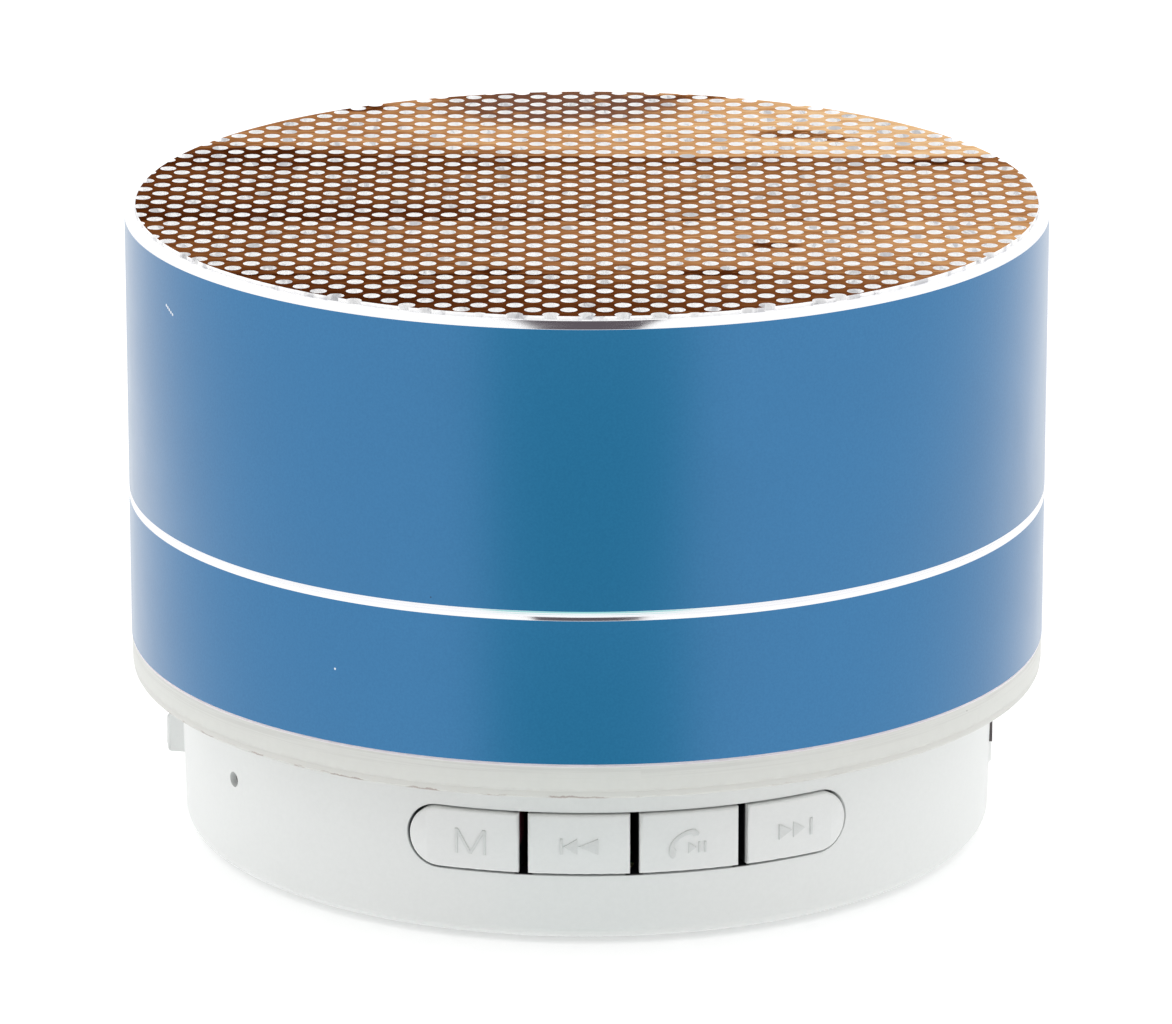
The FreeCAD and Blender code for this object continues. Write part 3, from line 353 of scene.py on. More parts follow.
stage = {"turn": -6.45, "rise": 16.74, "distance": 0.5008, "lens": 233.99, "aimShare": 0.4924,
         "sideways": -0.06 * mm, "clip": 0.01, "floorSize": 4.0}
floorLook = {"Base Color": (0.86, 0.86, 0.86, 1), "Roughness": 0.9, "Specular IOR Level": 0.1,
             "Emission Color": (1, 1, 1, 1), "Emission Strength": 0.3}
studio = {"surround": 1.12, "frontTint": (0.32, 0.714, 0.70), "frontHalf": (30.0, 19.0), "frontTop": (0.22, 0.02),
          "softFront": 0.04, "spread": 1.225, "softHalf": (42.0, 27.0), "softTop": (0.80, 0.62), "darkRise": 73.0,
          "darkWidth": (10.3, 8.6), "darkReach": (26.0, 20.0), "dark": (0.115, 0.098, 0.112)}


def azimuthVector(azimuth):
    turn = math.radians(azimuth)
    return Vector((math.sin(turn), -math.cos(turn), 0))


def raised(towards, rise):
    return towards * math.cos(rise) + Vector((0, 0, math.sin(rise)))


def cosines(angles):
    return [math.cos(math.radians(angle)) for angle in angles]


def addCamera():
    low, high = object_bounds()
    towards = azimuthVector(stage["turn"])
    rise = math.radians(stage["rise"])
    sideways = azimuthVector(stage["turn"] + 90)
    aim = Vector((0, 0, low.z + (high.z - low.z) * stage["aimShare"])) + sideways * stage["sideways"]
    data = bpy.data.cameras.new("camera")
    data.lens = stage["lens"]
    data.clip_start = stage["clip"]
    camera = bpy.data.objects.new("camera", data)
    bpy.context.scene.collection.objects.link(camera)
    camera.location = aim + raised(towards, rise) * stage["distance"]
    camera.rotation_euler = (math.pi / 2 - rise, 0, math.radians(stage["turn"]))
    bpy.context.scene.camera = camera


def along(tree, direction, wanted):  # how far a direction points the wanted way
    return addNode(tree, "VectorMath", {0: direction, 1: wanted}, operation="DOT_PRODUCT").outputs["Value"]


def addStudio():
    world = bpy.data.worlds.new("studio")
    bpy.context.scene.world = world
    world.use_nodes = True
    tree = world.node_tree
    tree.nodes.clear()
    direction = addNode(tree, "TexCoord").outputs["Generated"]
    height = addNode(tree, "SeparateXYZ", {0: direction}).outputs[2]
    towards = azimuthVector(stage["turn"])
    level = calc(tree, "SQRT", calc(tree, "SUBTRACT", 1.0, times(tree, height, height)))
    facing = calc(tree, "DIVIDE", along(tree, direction, towards), calc(tree, "MAXIMUM", level, 0.01))
    tinted = times(tree, fade(tree, facing, *cosines(studio["frontHalf"])), fade(tree, height, *studio["frontTop"]))
    softened = times(tree, fade(tree, facing, *cosines(studio["softHalf"])),
                     fade(tree, calc(tree, "ABSOLUTE", height), *studio["softTop"]))
    overhead = raised(towards, math.radians(studio["darkRise"]))
    beside = along(tree, direction, azimuthVector(stage["turn"] + 90))
    wide, narrow = (math.sin(math.radians(angle)) for angle in studio["darkWidth"])
    dark = times(tree, fade(tree, along(tree, direction, overhead), *cosines(studio["darkReach"])),
                 fade(tree, calc(tree, "ABSOLUTE", beside), wide, narrow))
    ray = addNode(tree, "LightPath").outputs
    surround = [studio["surround"]] * 3
    mirrored = mixColours(tree, tinted, surround, [part * studio["surround"] for part in studio["frontTint"]])
    mirrored = mixColours(tree, dark, mirrored, studio["dark"])
    spread = mixColours(tree, softened, [studio["spread"]] * 3, [studio["softFront"]] * 3)
    light = mixColours(tree, ray["Is Diffuse Ray"], mirrored, spread)
    light = mixColours(tree, ray["Is Camera Ray"], light, (1.0, 1.0, 1.0))
    background = addNode(tree, "Background", {"Color": light, "Strength": 1.0})
    tree.links.new(background.outputs[0], addNode(tree, "OutputWorld").inputs["Surface"])


def addFloor():
    clearSelection()
    bpy.ops.mesh.primitive_plane_add(size=stage["floorSize"], location=(0, 0, 0))
    floor = nameNewest("floor")
    floor.data.materials.append(newMaterial("paleFloor", floorLook)[0])
    floor.visible_glossy = False


addCamera()
addStudio()
addFloor()
print("stage set")


# Effects that more than one finish uses. Patterns are drawn in millimetres, on Object coordinates.

maskAndNormal = {"Mask": "NodeSocketFloat", "Normal": "NodeSocketVector"}


def patternPlace(tree):
    place = addNode(tree, "TexCoord").outputs["Object"]
    return addNode(tree, "VectorMath", {0: place, "Scale": 1000.0}, operation="SCALE").outputs["Vector"]


def patternParts(tree):
    return addNode(tree, "SeparateXYZ", {0: patternPlace(tree)}).outputs


def facingUp(tree):
    normal = addNode(tree, "NewGeometry").outputs["True Normal"]
    return addNode(tree, "SeparateXYZ", {0: normal}).outputs[2]


def fromAxis(tree, parts):
    return calc(tree, "SQRT", timesPlus(tree, parts[0], parts[0], times(tree, parts[1], parts[1])))


def noise(tree, place, scale, detail, rough=0.5, twist=0.0):
    return addNode(tree, "TexNoise", {"Vector": place, "Scale": scale, "Detail": detail, "Roughness": rough,
                                      "Distortion": twist}).outputs["Fac"]


def bumped(tree, height, distance, strength=1.0):
    return addNode(tree, "Bump", {"Height": height, "Distance": distance, "Strength": strength}).outputs["Normal"]


def closeGroup(tree, source, outlet, mask):
    tree.links.new(mask, outlet.inputs["Mask"])
    if "Relief" in source.outputs:
        depth = times(tree, source.outputs["Relief"], mm)
        tree.links.new(bumped(tree, mask, depth), outlet.inputs["Normal"])
    return tree


def closeMaterial(tree, shader, colour, rough, normal):
    tree.links.new(colour, shader.inputs["Base Color"])
    tree.links.new(rough, shader.inputs["Roughness"])
    tree.links.new(normal, shader.inputs["Normal"])


def makeGrain():  # fine, even moulded or blasted grain
    tree, source, outlet = startGroup("fineGrain", {"Scale": 4.0, "Detail": 3.0, "Relief": 0.01}, maskAndNormal)
    speckled = noise(tree, patternPlace(tree), source.outputs["Scale"], source.outputs["Detail"], 0.6)
    return closeGroup(tree, source, outlet, fade(tree, speckled, 0.25, 0.75))


def makeTurnedLines():  # the fine rings that a lathe tool leaves
    tree, source, outlet = startGroup("turnedLines", {"Scale": 20.0, "Relief": 0.002}, maskAndNormal)
    parts = patternParts(tree)
    turned = times(tree, calc(tree, "ARCTAN2", parts[0], parts[1]), 0.35)
    place = addNode(tree, "CombineXYZ", {0: fromAxis(tree, parts), 1: parts[2], 2: turned}).outputs[0]
    lines = noise(tree, place, source.outputs["Scale"], 2.0, 0.7)
    return closeGroup(tree, source, outlet, fade(tree, lines, 0.3, 0.7))


def makeHandling():  # broad, soft patches where a surface was touched
    tree, source, outlet = startGroup("handling", {"Scale": 0.12}, {"Mask": "NodeSocketFloat"})
    patches = noise(tree, patternPlace(tree), source.outputs["Scale"], 4.0, 0.55, 0.4)
    return closeGroup(tree, source, outlet, fade(tree, patches, 0.38, 0.68))


def makeSpecks():  # sparse dust and short scratches; Length draws them out upwards
    tree, source, outlet = startGroup("specks", {"Scale": 0.4, "Size": 0.06, "Share": 0.2, "Length": 1.0},
                                      {"Mask": "NodeSocketFloat"})
    parts = patternParts(tree)
    drawn = calc(tree, "DIVIDE", parts[2], source.outputs["Length"])
    place = addNode(tree, "CombineXYZ", {0: parts[0], 1: parts[1], 2: drawn}).outputs[0]
    cells = addNode(tree, "TexVoronoi", {"Vector": place, "Scale": source.outputs["Scale"]})
    chance = addNode(tree, "SeparateColor", {0: cells.outputs["Color"]}).outputs[0]
    chosen = calc(tree, "LESS_THAN", chance, source.outputs["Share"])
    width = times(tree, source.outputs["Size"], source.outputs["Scale"])
    dot = calc(tree, "LESS_THAN", cells.outputs["Distance"], width)
    return closeGroup(tree, source, outlet, times(tree, dot, chosen))


def makeWeave():  # plain-woven threads, over and under
    tree, source, outlet = startGroup("clothWeave", {"Threads": 3.0, "Relief": 0.03}, maskAndNormal)
    parts = patternParts(tree)
    step = times(tree, source.outputs["Threads"], math.pi)
    across = calc(tree, "SINE", times(tree, parts[0], step))
    along = calc(tree, "SINE", times(tree, parts[1], step))
    crossing = timesPlus(tree, times(tree, across, along), 0.35, 0.35)
    raisedThreads = calc(tree, "MAXIMUM", calc(tree, "ABSOLUTE", across), calc(tree, "ABSOLUTE", along))
    threads = times(tree, raisedThreads, 0.4)
    fuzz = noise(tree, patternPlace(tree), 9.0, 3.0)
    mask = timesPlus(tree, fuzz, 0.25, calc(tree, "ADD", crossing, threads), clamp=True)
    return closeGroup(tree, source, outlet, mask)


grain = makeGrain()
turnedLines = makeTurnedLines()
handling = makeHandling()
specks = makeSpecks()
weave = makeWeave()

plainLook = {"pattern": "grain", "spread": 0.06, "soil": 0.12, "specks": None, "deep": None}
# colours and places for the painted shade in and round the key gaps, and for a painted red glow on the walls of one
# gap
gapShading = {"glowPlace": 6.72, "glowWidth": (0.7, 0.5), "glowHeights": (6.5, 6.8), "pitch": 6.9,
           "halfGap": (0.45, 0.65), "endsFrom": (11.5, 12.5), "leftFade": (-13.4, -11.0), "top": (8.0, 8.3),
           "black": (0.012, 0.012, 0.014), "glow": (0.110, 0.020, 0.032), "leftEndShade": (0.13, 0.14, 0.15),
           "seam": (0.60, 0.61, 0.61)}


def paintGapShade(tree, colour, deep):  # painted shade: dark below a radius, far into the gaps round and between the keys, with a painted red glow in one gap
    parts = patternParts(tree)
    up = facingUp(tree)
    # the upward faces near the top of the window stay lit, out of the painted shade
    upperEdge = times(tree, fade(tree, up, 0.2, 0.7), fade(tree, parts[2], *gapShading["top"]))
    shaded = times(tree, fade(tree, fromAxis(tree, parts), *deep), calc(tree, "SUBTRACT", 1.0, upperEdge))
    away = calc(tree, "ABSOLUTE", calc(tree, "ADD", parts[0], gapShading["glowPlace"]))
    # a painted red glow on the walls of the first gap
    lit = times(tree, fade(tree, away, *gapShading["glowWidth"]), fade(tree, parts[2], *gapShading["glowHeights"]))
    inner = mixColours(tree, lit, gapShading["black"], gapShading["glow"])
    # painted shade: the fine seam round the four keys takes a paler shade than the gaps between them, darkest at its
    # left end
    across = calc(tree, "ABSOLUTE", parts[0])
    besideGaps = fade(tree, calc(tree, "PINGPONG", across, gapShading["pitch"] / 2), *gapShading["halfGap"])
    seam = times(tree, fade(tree, calc(tree, "ABSOLUTE", up), 0.15, 0.5), besideGaps)
    seam = calc(tree, "MAXIMUM", seam, fade(tree, across, *gapShading["endsFrom"]))
    ends = mixColours(tree, fade(tree, parts[0], *gapShading["leftFade"]), gapShading["leftEndShade"], gapShading["seam"])
    return mixColours(tree, shaded, colour, mixColours(tree, seam, inner, ends))


def makeFinish(name, colour, shade, scale, relief, rough, special=None):  # special: other looks, or shader sockets
    special = special or {}
    look = {label: special.get(label, value) for label, value in plainLook.items()}
    material, tree, shader = newMaterial(name, {label: special[label] for label in special if label not in look})
    if look["pattern"] == "weave":
        pattern = useGroup(tree, weave, Threads=scale, Relief=relief)
    else:
        pattern = useGroup(tree, turnedLines if look["pattern"] == "lines" else grain, Scale=scale, Relief=relief)
    touched = maskOf(tree, handling)
    soiled = [part * 0.6 for part in colour]
    colour = mixColours(tree, pattern.outputs["Mask"], shade, colour)
    colour = mixColours(tree, times(tree, touched, look["soil"]), colour, soiled)
    # painted shade far into the gaps, for the keys and their window's walls
    if look["deep"]:
        colour = paintGapShade(tree, colour, look["deep"])
    if look["specks"]:
        dust = maskOf(tree, specks, Scale=0.5, Size=0.07, Share=0.25)
        colour = mixColours(tree, dust, colour, look["specks"])
    rough = timesPlus(tree, pattern.outputs["Mask"], look["spread"], rough - look["spread"] / 2)
    closeMaterial(tree, shader, colour, timesPlus(tree, touched, look["spread"], rough), pattern.outputs["Normal"])
    return material


def makeAnodised():  # blasted, dyed aluminium: sparkle, dust, pits, a few scratches and a pale nick
    look = {"colour": (0.028, 0.183, 0.398), "shade": (0.023, 0.165, 0.368), "dust": (0.75, 0.80, 0.85),
            "pit": (0.010, 0.035, 0.09), "rough": 0.30, "spread": 0.06,
            # places along the scratch and of a pale nick, with their sizes
            "nicks": ((-28.02, -10.73, 38.5, 0.12), (-27.93, -10.92, 38.41, 0.12), (-27.86, -11.12, 38.31, 0.12),
                      (-27.78, -11.34, 38.2, 0.12), (-27.69, -11.55, 38.11, 0.12), (-18.55, -23.58, 18.1, 0.09))}
    material, tree, shader = newMaterial("anodisedBlue", {
        "Metallic": 1.0, "Coat Weight": 0.83, "Coat Roughness": 0.25})
    sparkle = useGroup(tree, grain, Scale=7.0, Detail=2.0, Relief=0.0012)
    touched = maskOf(tree, handling, Scale=0.07)
    colour = mixColours(tree, sparkle.outputs["Mask"], look["shade"], look["colour"])
    dust = maskOf(tree, specks, Scale=0.28, Size=0.055, Share=0.16)
    pits = maskOf(tree, specks, Scale=0.23, Size=0.05, Share=0.14)
    scratch = maskOf(tree, specks, Scale=0.21, Size=0.032, Share=0.05, Length=9.0)
    colour = mixColours(tree, pits, colour, look["pit"])
    pale = calc(tree, "MAXIMUM", dust, scratch)
    place = patternPlace(tree)
    for *spot, reach in look["nicks"]:
        away = addNode(tree, "VectorMath", {0: place, 1: spot}, operation="DISTANCE").outputs["Value"]
        pale = calc(tree, "MAXIMUM", pale, fade(tree, away, reach, reach * 0.6))
    colour = mixColours(tree, pale, colour, look["dust"])
    rough = timesPlus(tree, touched, look["spread"], look["rough"])
    closeMaterial(tree, shader, colour, rough, sparkle.outputs["Normal"])
    return material


milky = {"colour": (0.700, 0.705, 0.672), "shade": (0.680, 0.685, 0.652), "streak": (0.60, 0.60, 0.57),
         "lip": (0.93, 0.86, 0.91), "band": (0.645, 0.645, 0.615), "flash": (0.34, 0.28, 0.26),
         "speck": (0.22, 0.20, 0.19), "bandHeight": (11.78, 11.56), "flashHeight": 11.16, "lipHighlightHeight": (13.06, 13.1),
         "streakHeight": (11.9, 12.9)}


def makeMilky():  # moulded ring: a painted highlight along its pale upper lip, brushed streaks below it, a band of painted shade near its foot and a ragged parting line, part painted shade
    look = milky
    material, tree, shader = newMaterial("milkyPlastic", {
        "Subsurface Weight": 0.35, "Subsurface Radius": (1.0, 0.95, 0.9), "Subsurface Scale": 0.0008})
    parts = patternParts(tree)
    height = parts[2]
    clouded = useGroup(tree, grain, Scale=1.6, Relief=0.003)
    brushed = maskOf(tree, turnedLines, Scale=7.0, Relief=0.0015)
    ragged = maskOf(tree, grain, Scale=1.1, Detail=6.0)
    broken = maskOf(tree, handling, Scale=0.35)
    colour = mixColours(tree, clouded.outputs["Mask"], look["shade"], look["colour"])
    upper = times(tree, fade(tree, height, *look["streakHeight"]), fade(tree, brushed, 0.35, 0.85, 0.1, 0.75))
    colour = mixColours(tree, upper, colour, look["streak"])
    wander = timesPlus(tree, ragged, 0.22, height)
    # painted shade: a darker band near the ring's foot, under its lower edge
    colour = mixColours(tree, fade(tree, wander, *look["bandHeight"]), colour, look["band"])
    # the ragged parting line: part mould flash, part painted shade at the ring's lower edge, stronger to the left
    line = fade(tree, calc(tree, "ABSOLUTE", calc(tree, "SUBTRACT", wander, look["flashHeight"])), 0.09, 0.03)
    line = times(tree, line, fade(tree, parts[0], 12.0, -8.0, 0.25, 0.9))
    line = times(tree, line, fade(tree, broken, 0.25, 0.7, 0.15, 1.0))
    colour = mixColours(tree, line, colour, look["flash"])
    # painted highlight: a pale pink line along the upper lip, where light falls from above
    colour = mixColours(tree, fade(tree, height, *look["lipHighlightHeight"]), colour, look["lip"])
    dark = maskOf(tree, specks, Scale=0.42, Size=0.07, Share=0.35)
    colour = mixColours(tree, dark, colour, look["speck"])
    rough = timesPlus(tree, clouded.outputs["Mask"], 0.08, 0.38)
    closeMaterial(tree, shader, colour, rough, clouded.outputs["Normal"])
    return material


plankPrint = {"turn": 6.45, "stops": ((0.0, (0.058, 0.014, 0.003)), (0.2, (0.105, 0.029, 0.007)),
                                      (0.4, (0.200, 0.071, 0.021)), (0.6, (0.370, 0.165, 0.063)),
                                      (0.8, (0.600, 0.325, 0.145)), (1.0, (0.820, 0.555, 0.310))),
              "tones": (0.75, 0.455, 0.53), "slope": 0.008, "upperSeam": 10.9, "lowerSeam": -5.75,
              # height and slack of each seam or crack, then where it is full and where it has faded
              "seams": ((10.9, 0.27, -18.0, 6.0), (-5.75, 0.27, 8.0, 22.0), (-19.4, 0.3, -8.0, 2.0),
                        (9.2, 0.3, 40.0, 27.0), (27.6, 0.3, -30.0, 2.0)),
              # the grain in three sizes: across, along, shift, detail and depth
              "streaks": ((0.10, 0.42, 3.1, 3.0, 0.42), (0.22, 2.1, 7.7, 4.0, 0.48), (0.9, 7.0, 1.9, 4.0, 0.42)),
              # each plank's shadow: its heights, then where it starts, where it ends, and its depth at each
              "shadows": (((15.0, 11.0), (8.0, -22.0, 0.04, 0.40)), ((5.5, 10.0), (30.0, -30.0, 0.14, 0.14)),
                          ((-0.5, -4.0), (4.0, -12.0, 0.0, 0.24)), ((-14.5, -26.0), (30.0, -30.0, 0.34, 0.34))),
              # ovals: place, half width and half height
              "knots": ((14.0, 17.0, 3.4, 1.5), (16.6, 15.8, 2.0, 0.8), (23.2, 9.4, 3.2, 0.9),
                        (11.9, -12.2, 2.0, 0.8), (8.0, -18.9, 3.2, 0.9), (-5.4, -18.6, 1.8, 0.7),
                        (6.6, 27.6, 3.4, 0.8), (-15.5, 24.6, 2.6, 1.2), (-21.8, 12.4, 3.4, 1.2)),
              "stain": (-1.6, 25.4, 9.5, 7.0), "stainColour": (0.16, 0.085, 0.065), "stainTint": 0.55,
              # then depths, the painted glow on the hole walls and its edge radii, and the colours of bare metal and
              # of its patches of painted shade
              "knotDepth": 0.50, "stainDepth": 0.42, "seamDepth": 0.50, "holeGlow": 0.55, "edge": (29.0, 29.2),
              "bareDark": (0.84, 0.84, 0.85), "bare": (0.97, 0.97, 0.96), "holeShade": (0.50, 0.50, 0.52)}


def makePrintedGrille():  # a print of wood planks on the top face, bright punched metal in the holes, with a painted glow and patches of painted shade on the hole walls
    look = plankPrint
    material, tree, shader = newMaterial("printedGrille", {"Specular IOR Level": 0.0, "Emission Strength": 0.32})
    turned = addNode(tree, "Mapping", {
        "Vector": patternPlace(tree), "Rotation": (0, 0, math.radians(look["turn"]))}).outputs[0]
    parts = addNode(tree, "SeparateXYZ", {0: turned}).outputs
    across, away = parts[0], parts[1]

    def stretched(wide, high, shift, detail=4.0):
        place = addNode(tree, "CombineXYZ", {
            0: times(tree, across, wide), 1: timesPlus(tree, away, high, shift), 2: shift}).outputs[0]
        return noise(tree, place, 1.0, detail, 0.62)

    def oval(x, y, wide, high):  # 1 at the middle of an oval, 0 outside it
        flat = calc(tree, "DIVIDE", calc(tree, "SUBTRACT", across, x), wide)
        tall = calc(tree, "DIVIDE", calc(tree, "SUBTRACT", away, y), high)
        return fade(tree, timesPlus(tree, flat, flat, times(tree, tall, tall)), 1.15, 0.1)

    def darker(tone, mask, depth):
        return calc(tree, "SUBTRACT", tone, times(tree, mask, depth))

    upper = fade(tree, away, look["upperSeam"] - 0.1, look["upperSeam"] + 0.1)
    lower = fade(tree, away, look["lowerSeam"] + 0.1, look["lowerSeam"] - 0.1)
    # each plank's own tone, lighter to the right, and darker beside the seams and along the front
    farTone, middleTone, nearTone = look["tones"]
    tone = timesPlus(tree, across, look["slope"], middleTone)
    tone = timesPlus(tree, upper, farTone - middleTone, tone)
    tone = timesPlus(tree, lower, nearTone - middleTone, tone)
    planks = (upper, calc(tree, "SUBTRACT", 1.0, upper), calc(tree, "SUBTRACT", 1.0, lower), lower)
    for plank, (heights, share) in zip(planks, look["shadows"]):
        tone = darker(tone, plank, times(tree, fade(tree, away, *heights), fade(tree, across, *share)))
    for *size, depth in look["streaks"]:
        tone = timesPlus(tree, calc(tree, "SUBTRACT", stretched(*size), 0.5), depth, tone)
    knots = 0.0
    for knot in look["knots"]:
        knots = calc(tree, "MAXIMUM", knots, oval(*knot))
    tone = darker(tone, times(tree, knots, fade(tree, stretched(1.4, 3.4, 5.3), 0.30, 0.52)), look["knotDepth"])
    stain = times(tree, oval(*look["stain"]), fade(tree, stretched(0.35, 0.4, 9.4), 0.22, 0.5))
    tone = darker(tone, stain, look["stainDepth"])
    for height, half, full, faded in look["seams"]:
        wander = timesPlus(tree, calc(tree, "SUBTRACT", stretched(0.3, 0.1, 2.2), 0.5), 0.4, height)
        gap = calc(tree, "ABSOLUTE", calc(tree, "SUBTRACT", away, wander))
        line = times(tree, fade(tree, gap, half, half * 0.4), fade(tree, across, faded, full, 0.2, 1.0))
        tone = darker(tone, line, look["seamDepth"])
    ramp = addNode(tree, "ValToRGB", {0: tone})
    stops = ramp.color_ramp.elements
    for position, colour in look["stops"][1:-1]:
        stops.new(position)
    for stop, (position, colour) in zip(stops, look["stops"]):
        stop.position, stop.color = position, (*colour, 1)
    wood = mixColours(tree, times(tree, stain, look["stainTint"]), ramp.outputs["Color"], look["stainColour"])

    onTop = calc(tree, "GREATER_THAN", facingUp(tree), 0.5)
    punched = useGroup(tree, grain, Scale=3.0, Detail=3.0, Relief=0.004)
    bare = mixColours(tree, punched.outputs["Mask"], look["bareDark"], look["bare"])
    shadePatches = maskOf(tree, handling, Scale=0.9)  # painted shade: grey patches on the walls of some holes
    bare = mixColours(tree, fade(tree, shadePatches, 0.6, 0.95, 0.0, 0.7), bare, look["holeShade"])
    # a painted glow keeps the hole walls bright far down, and the open edge brighter still
    atEdge = fade(tree, fromAxis(tree, parts), *look["edge"])
    glow = mixColours(tree, atEdge, [look["holeGlow"]] * 3, (1.0, 1.0, 1.0))
    glow = mixColours(tree, onTop, mixColours(tree, 1.0, glow, bare, "MULTIPLY"), (0.0, 0.0, 0.0))
    tree.links.new(glow, shader.inputs["Emission Color"])
    rough = timesPlus(tree, onTop, 0.15, timesPlus(tree, tone, -0.10, 0.50))
    closeMaterial(tree, shader, mixColours(tree, onTop, bare, wood), rough, punched.outputs["Normal"])
    return material


def makeBoard():  # solder mask over tracks, bare glass fibre at the sides
    look = {"mask": (0.010, 0.075, 0.030), "track": (0.020, 0.150, 0.055), "fibreShade": (0.30, 0.33, 0.14),
            "fibre": (0.48, 0.47, 0.24), "trackShare": 0.42, "relief": 0.03 * mm}
    material, tree, shader = newMaterial("boardGreen", {"Coat Weight": 0.3, "Coat Roughness": 0.2})
    place = patternPlace(tree)
    cells = addNode(tree, "TexVoronoi", {"Vector": place, "Scale": 0.32},
                    feature="DISTANCE_TO_EDGE").outputs["Distance"]
    parts = addNode(tree, "SeparateXYZ", {0: place}).outputs
    slant = calc(tree, "FRACT", times(tree, calc(tree, "ADD", parts[0], parts[1]), 0.9))
    straight = calc(tree, "FRACT", times(tree, parts[1], 1.25))
    slanted = calc(tree, "GREATER_THAN", noise(tree, place, 0.14, 1.0), 0.5)
    lines = timesPlus(tree, slanted, calc(tree, "SUBTRACT", slant, straight), straight)
    tracks = times(tree, calc(tree, "LESS_THAN", lines, look["trackShare"]), calc(tree, "GREATER_THAN", cells, 0.12))
    colour = mixColours(tree, tracks, look["mask"], look["track"])
    fibre = useGroup(tree, grain, Scale=5.0, Relief=0.01)
    edge = mixColours(tree, fibre.outputs["Mask"], look["fibreShade"], look["fibre"])
    flat = calc(tree, "GREATER_THAN", calc(tree, "ABSOLUTE", facingUp(tree)), 0.5)
    rough = timesPlus(tree, fibre.outputs["Mask"], 0.15, 0.32)
    closeMaterial(tree, shader, mixColours(tree, flat, edge, colour), rough,
                  bumped(tree, tracks, look["relief"], 0.6))
    return material


def makeWinding():  # varnished copper wire, turn beside turn, with painted shade in the gaps between turns
    look = {"low": (25.1, 25.3), "high": (29.5, 29.3), "turns": 20.0, "gap": (0.22, 0.07, 0.02),
            "wire": (0.75, 0.30, 0.12), "formerShade": (0.40, 0.16, 0.03), "former": (0.60, 0.27, 0.06)}
    material, tree, shader = newMaterial("coilWinding", {"Metallic": 0.8, "Coat Weight": 0.5, "Coat Roughness": 0.15})
    parts = patternParts(tree)
    turns = calc(tree, "ABSOLUTE", calc(tree, "SINE", times(tree, parts[2], look["turns"])))
    wound = times(tree, fade(tree, parts[2], *look["low"]), fade(tree, parts[2], *look["high"]))
    # painted shade: the gap colour darkens the creases between the turns
    copper = mixColours(tree, turns, look["gap"], look["wire"])
    former = mixColours(tree, maskOf(tree, grain, Scale=3.0), look["formerShade"], look["former"])
    rough = fade(tree, turns, 0.0, 1.0, 0.42, 0.25)
    relief = bumped(tree, times(tree, turns, wound), 0.00005)
    closeMaterial(tree, shader, mixColours(tree, wound, former, copper), rough, relief)
    return material


def makeCan():  # a printed sleeve round the side, bare metal on top
    material, tree, shader = newMaterial("capacitorCan", {})
    lines = useGroup(tree, turnedLines, Scale=9.0, Relief=0.003)
    top = calc(tree, "GREATER_THAN", facingUp(tree), 0.5)
    metal = mixColours(tree, lines.outputs["Mask"], (0.60, 0.61, 0.62), (0.82, 0.82, 0.82))
    printed = mixColours(tree, maskOf(tree, grain, Scale=2.0), (0.02, 0.03, 0.08), (0.04, 0.06, 0.14))
    tree.links.new(top, shader.inputs["Metallic"])
    rough = fade(tree, lines.outputs["Mask"], 0.0, 1.0, 0.28, 0.40)
    closeMaterial(tree, shader, mixColours(tree, top, printed, metal), rough, lines.outputs["Normal"])
    return material


# Plain finishes: name, colour, shade, pattern scale, relief and roughness, then what is special about each.

